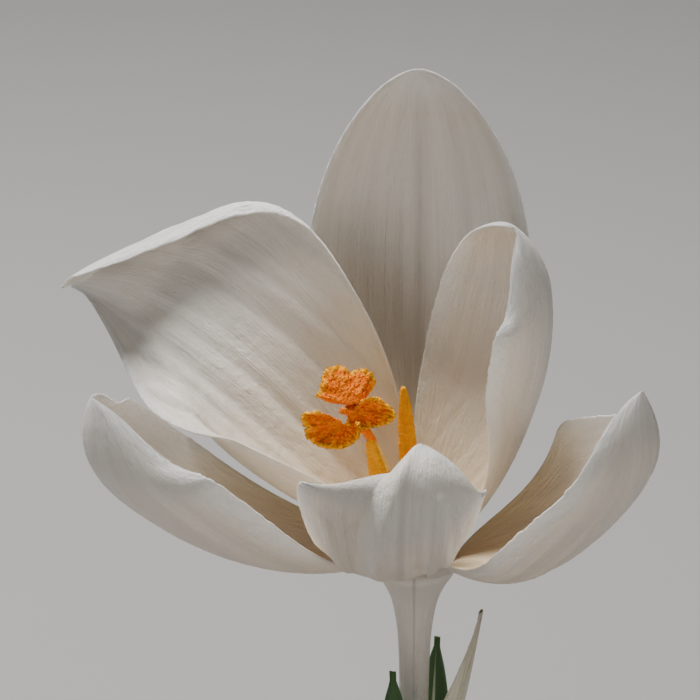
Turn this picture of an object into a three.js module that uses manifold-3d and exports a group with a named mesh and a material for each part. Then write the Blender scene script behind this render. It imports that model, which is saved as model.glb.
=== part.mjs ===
// A potted crocus: one large white bloom, wide open, on its tube, with the papery sheath,
// the bract and the young leaves that come up with it, grown from a corm in a clay flowerpot.
//
// Millimetres, +Z up. The origin is the centre of the pot's underside.
// Azimuths are in degrees about the plant's axis: 0 points to the front (-Y), 90 to the right (+X).

import * as THREE from 'three';
import { mergeVertices } from 'three/addons/utils/BufferGeometryUtils.js';
import Module from 'manifold-3d';

// ---- driving dimensions ----

const GAP = 0.3; // clearance between pieces that touch
const WALL = 0.6; // thickness of every petal, leaf and papery sheath

const POT = {
  height: 70,
  footRadius: 28,
  rimRadius: 42,
  rimDepth: 16, // height of the band round the top
  rimStep: 2.6, // how far the band stands out from the wall below it
  wall: 3.6,
  floor: 6,
  drainRadius: 5,
};

const SOIL = {
  level: 61, // at the pot's wall
  mound: 2.5, // how much higher it is at the plant
  crumb: 0.6, // height of the lumps on it
};

const CORM = { radius: 13, bottom: 28, top: 46.7, ridges: 12, ridgeDepth: 0.35 };

const SHOOT_FOOT = CORM.top + GAP; // where everything that grows from the corm starts
const SHEATH = { radius: 5.3, mouth: 79, slant: 3, highSide: -22 };
const BRACT = { radius: 2.3, azimuth: 78, tip: 116.5, opening: 88, lean: 9, halfWidth: 6.2 };

const THROAT = 122; // height of the flower's throat
const TUBE = { radius: 1.5, boreRadius: 1.9, boreDepth: 5 };

// Each tepal is a sheet grown outward from the throat. lean is the angle from upright at the
// foot, middle and tip, and hook turns the tip further in. cup is how far the margins turn in
// at the foot, middle and tip, and roll turns them further. twist banks the sheet about its
// midrib, and sway carries its tip sideways. halfWidth, widest, blunt and roll are given for
// the left and the right side.
//
// A step or bend runs along a line from one point to another, each given as how far along and
// how far across. A step lifts what is left of the line toward the inner face, and a bend turns
// it toward that face. A higher power keeps a bend's line to the margin for longer.
const TEPALS = {
  tepal_back: {
    azimuth: 178, whorl: 'outer', length: 51.2, halfWidth: [12.8, 12.9],
    widest: [0.56, 0.56], blunt: [0.5, 0.54],
    lean: [70, 31, 3], hook: 5, cup: [60, 22, 30], roll: [20, 40], sway: 0.5,
  },
  tepal_left_front: {
    azimuth: -69, whorl: 'outer', length: 42, halfWidth: [13, 17.4],
    widest: [0.6, 0.56], blunt: [0.42, 0.5],
    lean: [93, 60, 28], hook: 48, cup: [30, 62, 86], twist: -2,
  },
  tepal_right_front: {
    azimuth: 50, whorl: 'outer', length: 40.2, halfWidth: [14.5, 14.5],
    widest: [0.6, 0.34], blunt: [0.5, 1],
    lean: [93, 47, 26], hook: 58, cup: [50, 72, 60], twist: 22,
  },
  tepal_front: {
    azimuth: -6, whorl: 'inner', length: 41, halfWidth: [10.2, 9.6],
    widest: [0.7, 0.76], blunt: [0.5, 0.3],
    lean: [76, 52, -44], hook: 66, cup: [90, 60, 30], roll: [-10, 0], twist: 9, sway: 1.6,
    steps: [{ from: [0.4, -0.45], to: [0.85, -0.9], width: 2, lift: 2 }],
  },
  tepal_right_back: {
    azimuth: 122, whorl: 'inner', length: 38.2, halfWidth: [12.8, 15],
    widest: [0.62, 0.55], blunt: [0.36, 0.36],
    lean: [60, 21, -24], hook: 25, cup: [60, 85, 80], roll: [30, 0], twist: -20,
  },
  tepal_left_back: {
    azimuth: -122, whorl: 'inner', length: 46, halfWidth: [19.6, 13],
    widest: [0.7, 0.25], blunt: [0.82, 1.5],
    lean: [52, 66, 82], cup: [60, 62, 10], twist: -32, sway: -2.5,
    bends: [
      { from: [0.9, 0.4], to: [0.3, 0.6], width: 2, turn: 33 },
      { from: [0.99, -0.4], to: [0.6, 0.5], width: 1, turn: -45 },
      { from: [0.45, -1], to: [0.97, -0.25], width: 1, turn: 135, power: 2.6 },
    ],
  },
};
const TEPAL_FOOT = { radius: 2.4, halfWidth: 2.1, lean: 25, outerStep: 1.5 };
const TIP_HALF_WIDTH = 0.8;

// Each stamen's filament runs from the throat to the first point of its anther.
const STAMENS = [
  { azimuth: 178, anther: [[-0.6, 3.2, 6], [-0.8, 3.7, 11], [-1.2, 4.2, 16.7]] },
  { azimuth: -69, anther: [[-2.7, -1.7, 4.5], [-3.6, -2.1, 9.5], [-4.6, -2.4, 14.0]] },
  { azimuth: 50, anther: [[1.9, -1.6, 2.6], [2.5, -2.2, 6.5], [3.0, -2.8, 11.0]] },
];
const STAMEN = { rootRadius: 1.25, filament: 0.35, anther: 0.95 };

// The stigma's branches fan out from the top of the style, each a frilled half funnel.
const STYLE = {
  radius: 0.42,
  headRadius: 0.85,
  path: [[0, 0, -4.7], [-1.6, 0.7, 5], [-3.8, 0.5, 11.5], [-6.3, -2.8, 17.2]],
};
const STIGMA_BRANCHES = [
  { axis: [-0.1, -0.35, 0.93], back: [0.1, 0.93, 0.35], length: 3.2, radius: 2.9, phase: 0.5 },
  { axis: [0.87, -0.25, -0.05], back: [0.1, 0.95, 0.15], length: 3.4, radius: 1.9, phase: 1.9 },
  { axis: [-0.85, -0.38, -0.35], back: [-0.1, 0.9, 0.2], length: 3.7, radius: 2.1, phase: 3.1 },
];
const FRILL = { waves: 5, depth: 0.4, span: 200 };
const STIGMA_KNOB = [[-6.6, -2.9, 16.6], [-7.2, -3.1, 17.4], [-7.5, -3.2, 18.1]];

// Each leaf stands in the sheath to its mouth and then leans out along its lean angles.
const LEAVES = [
  { azimuth: -22, length: 65, lean: [2, 5, 6], halfWidth: 2.3 },
  { azimuth: 38, length: 71, lean: [20, 75, 112], halfWidth: 2.9 },
  { azimuth: 97, length: 70, lean: [18, 66, 104], halfWidth: 2.8 },
  { azimuth: 156, length: 63, lean: [2, 6, 5], halfWidth: 2.2 },
  { azimuth: -148, length: 62, lean: [30, 88, 116], halfWidth: 2.7 },
  { azimuth: -84, length: 71, lean: [20, 64, 100], halfWidth: 3.0 },
];
const LEAF = { rootRadius: 3.85, rootHalfWidth: 1.5, straight: 36, cup: 24 };

const COLOURS = {
  clay: { color: '#b4694a', roughness: 0.85 },
  soil: { color: '#3a2a20', roughness: 1 },
  corm: { color: '#8a6238', roughness: 0.9 },
  paper: { color: '#e6e3d2', roughness: 0.6 },
  petal: { color: '#eeebe6', roughness: 0.5 },
  anther: { color: '#dd9512', roughness: 0.8 },
  filament: { color: '#ece6cf', roughness: 0.5 },
  stigma: { color: '#e0661b', roughness: 0.6 },
  leaf: { color: '#3f6a2c', roughness: 0.45 },
};

// ---- helpers ----

const wasm = await Module();
wasm.setup();

const radians = THREE.MathUtils.degToRad;

function smoothStep(x) {
  return THREE.MathUtils.smoothstep(x, 0, 1);
}

// The parabola through three values at s = 0, 0.5 and 1.
function through([first, middle, last], s) {
  return first * (1 - s) * (1 - 2 * s) + 4 * middle * s * (1 - s) + last * s * (2 * s - 1);
}

// The row of numbers at s, from 0 to 1, between evenly spaced rows.
function between(rows, s) {
  const place = s * (rows.length - 1);
  const k = Math.min(Math.floor(place), rows.length - 2);
  return rows[k].map((value, i) => THREE.MathUtils.lerp(value, rows[k + 1][i], place - k));
}

// A point at a radius, azimuth and height, shifted sideways along the azimuth's right-hand side.
function polar(radius, azimuth, z, sideways = 0) {
  const a = radians(azimuth);
  const x = radius * Math.sin(a) + sideways * Math.cos(a);
  const y = -radius * Math.cos(a) + sideways * Math.sin(a);
  return new THREE.Vector3(x, y, z);
}

function vector([x, y, z]) {
  return new THREE.Vector3(x, y, z);
}

function signedVolume(points, triangles) {
  const cross = new THREE.Vector3();
  return triangles.reduce((sum, [a, b, c]) => {
    cross.crossVectors(points[b], points[c]);
    return sum + points[a].dot(cross) / 6;
  }, 0);
}

// A geometry from points and triangles, turned to face outward and with its seams merged.
function closedGeometry(points, triangles) {
  const inward = signedVolume(points, triangles) < 0;
  const faces = inward ? triangles.map(([a, b, c]) => [a, c, b]) : triangles;
  const raw = new THREE.BufferGeometry().setFromPoints(points);
  raw.setIndex(faces.flat());
  const merged = mergeVertices(raw, 1e-3);
  const index = Array.from(merged.index.array);
  const kept = [];
  for (let i = 0; i < index.length; i += 3) {
    const [a, b, c] = index.slice(i, i + 3);
    if (a !== b && b !== c && c !== a) kept.push(a, b, c);
  }
  merged.setIndex(kept);
  merged.computeVertexNormals();
  return merged;
}

// Triangles of a grid of rows and columns of points, starting at an offset.
function gridTriangles(rows, columns, offset = 0) {
  const triangles = [];
  for (let i = 0; i < rows - 1; i += 1) {
    for (let j = 0; j < columns - 1; j += 1) {
      const a = offset + i * columns + j;
      const b = a + 1;
      const c = a + columns + 1;
      const d = a + columns;
      triangles.push([a, b, c], [a, c, d]);
    }
  }
  return triangles;
}

// A closed sheet of even thickness over surface(u, v), which gives the sheet's point and
// normal for u and v from 0 to 1.
function sheetGeometry(surface, rows, columns) {
  const top = [];
  const bottom = [];
  for (let i = 0; i < rows; i += 1) {
    for (let j = 0; j < columns; j += 1) {
      const { point, normal } = surface(i / (rows - 1), j / (columns - 1));
      top.push(point.clone().addScaledVector(normal, WALL / 2));
      bottom.push(point.clone().addScaledVector(normal, -WALL / 2));
    }
  }
  const size = rows * columns;
  const flipped = gridTriangles(rows, columns, size).map(([a, b, c]) => [a, c, b]);
  const rim = [];
  for (let j = 0; j < columns; j += 1) rim.push(j);
  for (let i = 1; i < rows; i += 1) rim.push(i * columns + columns - 1);
  for (let j = columns - 2; j >= 0; j -= 1) rim.push((rows - 1) * columns + j);
  for (let i = rows - 2; i > 0; i -= 1) rim.push(i * columns);
  const edges = rim.flatMap((a, k) => {
    const b = rim[(k + 1) % rim.length];
    return [[a, a + size, b + size], [a, b + size, b]];
  });
  return closedGeometry([...top, ...bottom], [...gridTriangles(rows, columns), ...flipped, ...edges]);
}

// A solid of revolution whose [radius, height] profile may change with the azimuth. The profile
// starts and ends on the axis, or ends at its first point.
function turnedGeometry(profileAt, segments) {
  const points = [];
  for (let j = 0; j <= segments; j += 1) {
    const azimuth = (360 * (j % segments)) / segments;
    profileAt(azimuth).forEach(([radius, z]) => points.push(polar(radius, azimuth, z)));
  }
  const count = points.length / (segments + 1);
  return closedGeometry(points, gridTriangles(segments + 1, count));
}

// A rod along a curve, closed at both ends. radiusAt(u, angle) gives its section.
function rodGeometry(path, radiusAt, rows, sides) {
  const curve = new THREE.CatmullRomCurve3(path.map(vector));
  const frames = curve.computeFrenetFrames(rows - 1);
  const points = [];
  for (let i = 0; i < rows; i += 1) {
    const u = i / (rows - 1);
    const centre = curve.getPointAt(u);
    for (let j = 0; j <= sides; j += 1) {
      const angle = (2 * Math.PI * (j % sides)) / sides;
      const radius = i === 0 || i === rows - 1 ? 0 : radiusAt(u, angle);
      points.push(
        centre.clone()
          .addScaledVector(frames.normals[i], radius * Math.cos(angle))
          .addScaledVector(frames.binormals[i], radius * Math.sin(angle)),
      );
    }
  }
  return closedGeometry(points, gridTriangles(rows, sides + 1));
}

function toSolid(geometry) {
  return new wasm.Manifold(new wasm.Mesh({
    numProp: 3,
    vertProperties: geometry.attributes.position.array,
    triVerts: new Uint32Array(geometry.index.array),
  }));
}

// Joins overlapping geometries into one.
function fused(geometries) {
  const joined = geometries.map(toSolid).reduce((whole, piece) => whole.add(piece));
  const mesh = joined.getMesh();
  const geometry = new THREE.BufferGeometry();
  geometry.setAttribute('position', new THREE.BufferAttribute(mesh.vertProperties, 3));
  geometry.setIndex(Array.from(mesh.triVerts));
  return geometry;
}

const crocus = new THREE.Group();

function add(name, geometry, finish, z = 0) {
  const material = new THREE.MeshStandardMaterial({ ...COLOURS[finish], metalness: 0 });
  material.side = THREE.DoubleSide;
  const mesh = new THREE.Mesh(geometry, material);
  mesh.name = name;
  mesh.position.z = z;
  crocus.add(mesh);
}

// ---- pot, soil and corm ----

// The pot's outer radius below the rim band, and its inner radius, at a height.
function potOuterRadius(z) {
  const top = POT.height - POT.rimDepth;
  return THREE.MathUtils.mapLinear(z, 0, top, POT.footRadius, POT.rimRadius - POT.rimStep - 2);
}

function potInnerRadius(z) {
  return potOuterRadius(z) - POT.wall;
}

function potGeometry() {
  const bandFoot = POT.height - POT.rimDepth;
  const lip = potInnerRadius(POT.height);
  const profile = [
    [POT.drainRadius, 0],
    [POT.footRadius - 0.8, 0],
    [POT.footRadius, 0.8],
    [potOuterRadius(bandFoot - 1), bandFoot - 1],
    [POT.rimRadius - 2.2, bandFoot],
    [POT.rimRadius - 1.2, bandFoot + 1],
    [POT.rimRadius, POT.height - 2],
    [POT.rimRadius - 0.5, POT.height - 0.5],
    [POT.rimRadius - 1.6, POT.height],
    [lip + 1, POT.height],
    [lip, POT.height - 0.8],
    [potInnerRadius(POT.floor + 2), POT.floor + 2],
    [potInnerRadius(POT.floor) - 2, POT.floor],
    [POT.drainRadius, POT.floor],
    [POT.drainRadius, 0],
  ];
  return new THREE.LatheGeometry(profile.map(([r, z]) => new THREE.Vector2(r, z)), 52)
    .rotateX(Math.PI / 2);
}

// Height of the soil at a radius and azimuth: a mound with lumps.
function soilHeight(radius, azimuth) {
  const a = radians(azimuth);
  const x = radius * Math.sin(a);
  const y = -radius * Math.cos(a);
  const mound = SOIL.mound * Math.cos((Math.PI / 2) * Math.min(radius / 36, 1));
  const lumps = Math.sin(0.55 * x + 1.3) * Math.cos(0.5 * y - 0.4) + 0.6 * Math.sin(0.9 * y + 0.35 * x);
  return SOIL.level + mound + SOIL.crumb * lumps;
}

function soilGeometry() {
  const hole = SHEATH.radius + GAP;
  const side = (z) => potInnerRadius(z) - GAP;
  const bottom = POT.floor + GAP;
  const rings = [hole, 8.5, 12, 16, 20, 24, 28, 32, side(SOIL.level)];
  return turnedGeometry((azimuth) => [
    [0, CORM.bottom - GAP],
    ...cormProfile(CORM.ridgeDepth, GAP).slice(1, -2),
    [hole, CORM.top + GAP],
    ...rings.map((radius) => [radius, soilHeight(radius, azimuth)]),
    [side(bottom + 2), bottom + 2],
    [side(bottom) - 2, bottom],
    [0, bottom],
  ], 40);
}

// The corm's outline, from its base to its top, grown by a clearance.
function cormProfile(ridge, grow = 0) {
  const middle = (CORM.top + CORM.bottom) / 2;
  const half = (CORM.top - CORM.bottom) / 2;
  const profile = [[0, CORM.bottom]];
  for (let angle = -65; angle <= 50; angle += 23) {
    const radius = (CORM.radius - CORM.ridgeDepth) * Math.cos(radians(angle)) ** 0.7 + ridge + grow;
    const reach = half * Math.sin(radians(angle)) + grow * Math.sin(radians(angle));
    profile.push([radius, middle + reach]);
  }
  profile.push([SHEATH.radius + GAP, CORM.top], [0, CORM.top]);
  return profile;
}

function cormGeometry() {
  return turnedGeometry(
    (azimuth) => cormProfile(CORM.ridgeDepth * Math.cos(radians(CORM.ridges * azimuth))),
    24,
  );
}

// ---- shoot ----

function sheathGeometry() {
  const inner = SHEATH.radius - WALL;
  return turnedGeometry((azimuth) => {
    const mouth = SHEATH.mouth + SHEATH.slant * Math.cos(radians(azimuth - SHEATH.highSide));
    const flare = 0.25 * Math.cos(radians(3 * azimuth));
    return [
      [inner, SHOOT_FOOT],
      [SHEATH.radius, SHOOT_FOOT],
      [SHEATH.radius, mouth - 14],
      [SHEATH.radius - 0.1, mouth - 5],
      [SHEATH.radius + flare, mouth],
      [inner + flare, mouth],
      [inner - 0.1, mouth - 5],
      [inner, mouth - 14],
      [inner, SHOOT_FOOT],
    ];
  }, 20);
}

// The bract wraps the tube and opens into a pointed blade that stands off it.
function bractSurface(u, v) {
  const length = BRACT.tip - SHOOT_FOOT;
  const z = SHOOT_FOOT + length * u;
  const open = Math.max(z - BRACT.opening, 0);
  const taper = Math.max(1 - open / (BRACT.tip - BRACT.opening), 0.02) ** 0.7;
  const wrap = ((2 * v - 1) * BRACT.halfWidth * taper) / BRACT.radius;
  const stand = open * Math.tan(radians(BRACT.lean)) * smoothStep(open / 20);
  const normal = polar(Math.cos(wrap), BRACT.azimuth, 0, Math.sin(wrap));
  const point = polar(stand, BRACT.azimuth, z).addScaledVector(normal, BRACT.radius);
  return { point, normal };
}

function flowerTubeGeometry() {
  const bore = TUBE.boreRadius;
  const outer = TEPAL_FOOT.radius + TEPAL_FOOT.outerStep;
  const profile = [
    [0, SHOOT_FOOT - THROAT],
    [TUBE.radius, SHOOT_FOOT - THROAT],
    [TUBE.radius, -40],
    [TUBE.radius, -14],
    [TUBE.radius + 0.3, -9.5],
    [TUBE.radius + 1.1, -5.6],
    [outer - 0.2, -2.9],
    [outer + 0.4, -1.15],
    [TEPAL_FOOT.radius + 0.75, -1.15],
    [TEPAL_FOOT.radius + 0.65, -0.5],
    [bore, -0.5],
    [bore, -TUBE.boreDepth],
    [0, -TUBE.boreDepth],
  ];
  return turnedGeometry(() => profile, 18);
}

// The inner face's normal on a blade that leans outward by an angle, where its section has
// turned up by another.
function bladeNormal(azimuth, lean, turn) {
  const inward = Math.cos(turn);
  return polar(-Math.cos(lean) * inward, azimuth, Math.sin(lean) * inward, -Math.sin(turn));
}

// A leaf is a channelled blade, narrow in the sheath and tapered to its tip.
function leafSurface({ azimuth, length, lean, halfWidth }) {
  const steps = 60;
  const freePart = (u) => Math.max(u * length - LEAF.straight, 0) / (length - LEAF.straight);
  const angleAt = (u) => radians(through(lean, freePart(u)) * smoothStep(freePart(u) / 0.3));
  const spine = [[LEAF.rootRadius, SHOOT_FOOT, 0]];
  for (let k = 1; k <= steps; k += 1) {
    const [radius, z] = spine[k - 1];
    const angle = angleAt((k - 0.5) / steps);
    const step = length / steps;
    spine.push([radius + step * Math.sin(angle), z + step * Math.cos(angle), angleAt(k / steps)]);
  }
  return (u, v) => {
    const [radius, z, angle] = between(spine, u);
    const blade = THREE.MathUtils.lerp(LEAF.rootHalfWidth, halfWidth, smoothStep(freePart(u) / 0.35));
    const half = blade * Math.sqrt(Math.max(1 - smoothStep((freePart(u) - 0.35) / 0.65) ** 2, 0.02));
    const turn = radians(LEAF.cup) * (2 * v - 1);
    const rise = (half * (1 - Math.cos(turn))) / radians(LEAF.cup);
    const sideways = (half * Math.sin(turn)) / radians(LEAF.cup);
    return {
      point: polar(radius - rise * Math.cos(angle), azimuth, z + rise * Math.sin(angle), sideways),
      normal: bladeNormal(azimuth, angle, turn),
    };
  };
}

// ---- flower ----

// The midrib of a tepal, as its radius, height and lean angle at even steps from foot to tip.
function tepalMidrib({ length, lean, hook = 0, whorl }) {
  const steps = 120;
  const step = whorl === 'outer' ? TEPAL_FOOT.outerStep : 0;
  const foot = radians(TEPAL_FOOT.lean);
  const leanAt = (s) => radians(
    through(lean, s)
    - (lean[0] - TEPAL_FOOT.lean) * Math.exp(-s / 0.05)
    - hook * smoothStep((s - 0.72) / 0.28),
  );
  let radius = TEPAL_FOOT.radius + step * Math.cos(foot);
  let z = -step * Math.sin(foot);
  const midrib = [];
  for (let k = 0; k <= steps; k += 1) {
    const s = k / steps;
    midrib.push([radius, z, leanAt(s)]);
    const middle = leanAt(s + 0.5 / steps);
    radius += (length / steps) * Math.sin(middle);
    z += (length / steps) * Math.cos(middle);
  }
  return midrib;
}

// The width of one side of a tepal, left below t = 0 and right above it, along its length.
function tepalHalfWidth({ halfWidth, widest, blunt }, s, t) {
  const side = t < 0 ? 0 : 1;
  const foot = TEPAL_FOOT.halfWidth;
  if (s < widest[side]) {
    const grown = Math.sin((Math.PI / 2) * (s / widest[side])) ** 0.95;
    return foot + (halfWidth[side] - foot) * grown;
  }
  const beyond = (s - widest[side]) / (1 - widest[side]);
  return Math.max(halfWidth[side] * (1 - beyond * beyond) ** blunt[side], TIP_HALF_WIDTH);
}

// How far the steps of a tepal lift it toward its inner face.
function stepLift(tepal, s, t) {
  const flat = (along, across) => (
    new THREE.Vector2(along * tepal.length, across * tepalHalfWidth(tepal, along, across))
  );
  return (tepal.steps ?? []).reduce((sum, { from, to, width, lift }) => {
    const line = flat(...to).sub(flat(...from));
    const place = flat(s, t).sub(flat(...from));
    const part = place.dot(line) / line.lengthSq();
    const left = place.cross(line) / line.length();
    return sum + lift * smoothStep(0.5 + left / (2 * width)) * smoothStep(part / 0.35);
  }, 0);
}

// How far the bends of a tepal have turned its section at s and t.
function bendTurn({ bends = [] }, s, t, half) {
  return bends.reduce((sum, { from, to, width, turn, power = 1 }) => {
    const share = THREE.MathUtils.clamp((s - from[0]) / (to[0] - from[0]), 0, 2);
    const line = from[1] + (to[1] - from[1]) * share ** power;
    const towardTip = Math.sign(to[0] - from[0]);
    const left = towardTip * (line - t) * half;
    return sum - towardTip * radians(turn) * smoothStep(0.5 + left / (2 * width));
  }, 0);
}

// Where a tepal's section is at t, from the midrib at 0 to a margin at -1 or 1: how far across
// and inward it has come, and the angle it has turned.
function sectionPoint(tepal, s, t) {
  const count = 30;
  const half = tepalHalfWidth(tepal, s, t);
  const eased = half / (half + 1); // a narrow section turns less
  const cup = radians(through(tepal.cup, s));
  const roll = radians((tepal.roll ?? [0, 0])[t < 0 ? 0 : 1]) * smoothStep((s - 0.15) / 0.5);
  const turnAt = (at) => (
    eased * (cup * at + roll * Math.sign(at) * Math.abs(at) ** 5) + bendTurn(tepal, s, at, half)
  );
  let across = 0;
  let inward = 0;
  for (let k = 0; k < count; k += 1) {
    const angle = turnAt((t * (k + 0.5)) / count);
    across += ((half * t) / count) * Math.cos(angle);
    inward += ((half * t) / count) * Math.sin(angle);
  }
  const slope = (stepLift(tepal, s, t + 0.01) - stepLift(tepal, s, t - 0.01)) / (0.02 * half);
  const turn = turnAt(t);
  return [across, inward + stepLift(tepal, s, t), Math.atan2(Math.sin(turn) + slope, Math.cos(turn))];
}

function tepalSurface(tepal) {
  const { azimuth, twist = 0, sway = 0 } = tepal;
  const midrib = tepalMidrib(tepal);
  return (u, v) => {
    const s = 1 - (1 - u) ** 1.4; // closer rows toward the tip, to round it
    const w = 2 * v - 1;
    const t = Math.sign(w) * (1 - (1 - Math.abs(w)) ** 1.4); // and closer columns at the margins
    const [ribRadius, ribHeight, ribLean] = between(midrib, s);
    const [across, inward, turn] = sectionPoint(tepal, s, t);
    const bank = radians(twist) * smoothStep(s / 0.5);
    const sideways = across * Math.cos(bank) - inward * Math.sin(bank) + sway * s * s;
    const lift = across * Math.sin(bank) + inward * Math.cos(bank);
    const radius = ribRadius - Math.cos(ribLean) * lift;
    return {
      point: polar(radius, azimuth, ribHeight + Math.sin(ribLean) * lift, sideways),
      normal: bladeNormal(azimuth, ribLean, turn + bank),
    };
  };
}

function antherGeometry({ anther }) {
  // Two lobes side by side, with a groove down each face.
  const lobes = (angle) => 0.78 + 0.22 * Math.cos(2 * angle);
  const ends = (u) => Math.sin(Math.PI * u) ** 0.35;
  return rodGeometry(anther, (u, angle) => STAMEN.anther * ends(u) * lobes(angle), 9, 12);
}

function filamentGeometry({ azimuth, anther }) {
  const root = polar(STAMEN.rootRadius, azimuth, GAP - TUBE.boreDepth).toArray();
  const throat = polar(STAMEN.rootRadius + 0.1, azimuth, 0).toArray();
  const [x, y, z] = anther[0];
  const under = [x * 0.97, y * 0.97, z - GAP];
  return rodGeometry([root, throat, under], () => STAMEN.filament, 7, 8);
}

// One branch of the stigma: a half funnel whose rim is frilled.
function branchSurface({ axis, back, length, radius, phase }) {
  const along = vector(axis).normalize();
  const rear = vector(back).addScaledVector(along, -vector(back).dot(along)).normalize();
  const side = along.clone().cross(rear);
  const root = vector(STYLE.path.at(-1)).addScaledVector(along, -0.15);
  return (u, v) => {
    const angle = radians(FRILL.span) * (v - 0.5);
    const frill = FRILL.depth * u * u * Math.sin(FRILL.waves * angle + phase);
    const reach = 0.45 + (radius - 0.45) * u ** 1.3 + frill;
    const outward = rear.clone().multiplyScalar(Math.cos(angle)).addScaledVector(side, Math.sin(angle));
    return {
      point: root.clone().addScaledVector(along, length * u + 0.6 * frill).addScaledVector(outward, reach),
      normal: outward.clone().multiplyScalar(length).addScaledVector(along, -radius).normalize(),
    };
  };
}

function stigmaGeometry() {
  const style = rodGeometry(STYLE.path, () => STYLE.radius, 12, 8);
  const head = new THREE.SphereGeometry(STYLE.headRadius, 9, 7).translate(...STYLE.path.at(-1));
  const knob = rodGeometry(STIGMA_KNOB, (u) => 0.3 + 0.2 * u, 5, 6);
  const branches = STIGMA_BRANCHES.map((branch) => sheetGeometry(branchSurface(branch), 6, 18));
  return fused([style, mergedPositions(head), knob, ...branches]);
}

// A library geometry with only its positions left and its seams merged.
function mergedPositions(geometry) {
  geometry.deleteAttribute('normal');
  geometry.deleteAttribute('uv');
  return mergeVertices(geometry, 1e-3);
}

// ---- the whole plant in its pot ----

add('pot', potGeometry(), 'clay');
add('soil', soilGeometry(), 'soil');
add('corm', cormGeometry(), 'corm');
add('sheath', sheathGeometry(), 'paper');
add('bract', sheetGeometry(bractSurface, 18, 11), 'paper');
add('flower_tube', flowerTubeGeometry(), 'petal', THROAT);

Object.entries(TEPALS).forEach(([name, tepal]) => {
  const columns = tepal.bends || tepal.steps ? 19 : 13;
  add(name, sheetGeometry(tepalSurface(tepal), 19, columns), 'petal', THROAT);
});

STAMENS.forEach((stamen, k) => {
  add(`filament_${k + 1}`, filamentGeometry(stamen), 'filament', THROAT);
  add(`anther_${k + 1}`, antherGeometry(stamen), 'anther', THROAT);
});

add('stigma', stigmaGeometry(), 'stigma', THROAT);

LEAVES.forEach((leaf, k) => {
  add(`leaf_${k + 1}`, sheetGeometry(leafSurface(leaf), 16, 5), 'leaf');
});

export default crocus;
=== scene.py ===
"""A potted crocus: one large white bloom, wide open, on its tube, with the bract, the papery
sheath and the young leaves that come up with it, in a clay flowerpot.

Sizes are in millimetres, in the frame of the part: +Z up, with the origin at the centre of the
pot's underside. Azimuths are in degrees about the plant's axis: 0 points to the front (-Y) and
90 to the right (+X). Meshes are turned into metres as they are made.
"""

import logging
import math
from dataclasses import dataclass, field
from enum import Enum
from typing import Any, Callable, Sequence

import bpy
import numpy as np
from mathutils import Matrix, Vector


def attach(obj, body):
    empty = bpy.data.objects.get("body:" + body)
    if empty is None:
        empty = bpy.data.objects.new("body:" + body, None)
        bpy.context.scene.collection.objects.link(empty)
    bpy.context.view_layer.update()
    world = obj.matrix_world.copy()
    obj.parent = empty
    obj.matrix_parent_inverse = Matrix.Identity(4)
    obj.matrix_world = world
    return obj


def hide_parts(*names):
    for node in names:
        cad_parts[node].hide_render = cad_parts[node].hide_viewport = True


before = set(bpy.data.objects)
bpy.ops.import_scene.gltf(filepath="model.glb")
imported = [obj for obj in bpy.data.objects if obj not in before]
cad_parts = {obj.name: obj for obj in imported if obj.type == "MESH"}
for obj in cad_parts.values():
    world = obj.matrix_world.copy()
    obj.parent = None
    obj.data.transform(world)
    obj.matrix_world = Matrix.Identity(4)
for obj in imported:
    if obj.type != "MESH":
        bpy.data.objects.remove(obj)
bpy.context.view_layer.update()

LOG = logging.getLogger("crocus")
MM = 0.001
BODY = "root"
Array = np.ndarray
Point = tuple[float, float, float]
Colour = tuple[float, float, float]
Flatten = Callable[[Array, Array], Array]

# Heights of the flower's throat, of the middle of the bloom and of the shoot's foot.
THROAT = 122.0
BLOOM = THROAT + 15
SHOOT_FOOT = 47.0

# The corm's radius, and the heights of its underside and top.
CORM_RADIUS = 13.0
CORM_BOX = (28.0, 46.7)


# ---- numbers ----


def smooth(x: Array | float, start: float = 0.0, span: float = 1.0) -> Array | float:
    """Ease a value from 0 to 1 with level ends.

    Args:
        x: The value.
        start: Where it leaves 0.
        span: How much further on it reaches 1.

    Returns:
        The eased value.
    """
    x = np.clip((x - start) / span, 0.0, 1.0)
    return x * x * (3.0 - 2.0 * x)


def through(values: Sequence[float], s: Array | float) -> Array | float:
    """Return the parabola through three values at s = 0, 0.5 and 1."""
    first, middle, last = values
    return first * (1 - s) * (1 - 2 * s) + 4 * middle * s * (1 - s) + last * s * (2 * s - 1)


def ripple(x: Array, seed: float) -> Array:
    """Return an uneven wave between about -1 and 1, with a wavelength of about 1.

    Args:
        x: Where along the wave.
        seed: Which wave.

    Returns:
        Its height there.
    """
    slow = np.sin(2.9 * x + 1.7 * seed) + np.sin(4.7 * x + 4.1 * seed + 1.3)
    fast = np.sin(7.9 * x + 2.3 * seed + 0.6 * np.sin(1.9 * x)) + 0.6 * np.sin(13.1 * x + 5.9 * seed)
    return (slow + fast) / 3.6


def lumps(points: Array, size: float, seed: float, octaves: int = 3) -> Array:
    """Return smooth lumps in space, between about -1 and 1.

    Args:
        points: Points in space, in millimetres.
        size: The width of the largest lumps, in millimetres.
        seed: Which lumps.
        octaves: How many times finer ones are added.

    Returns:
        A height for each point.
    """
    rng = np.random.default_rng(int(seed * 1000) + 7)
    total = np.zeros(points.shape[:-1])
    weight = 1.0
    for _ in range(octaves):
        for _ in range(5):
            direction = rng.normal(size=3)
            direction *= 2 * math.pi / (size * np.linalg.norm(direction))
            total += 0.45 * weight * np.sin(points @ direction + rng.uniform(0, 2 * math.pi))
        size /= 2.1
        weight *= 0.55
    return total


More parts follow.
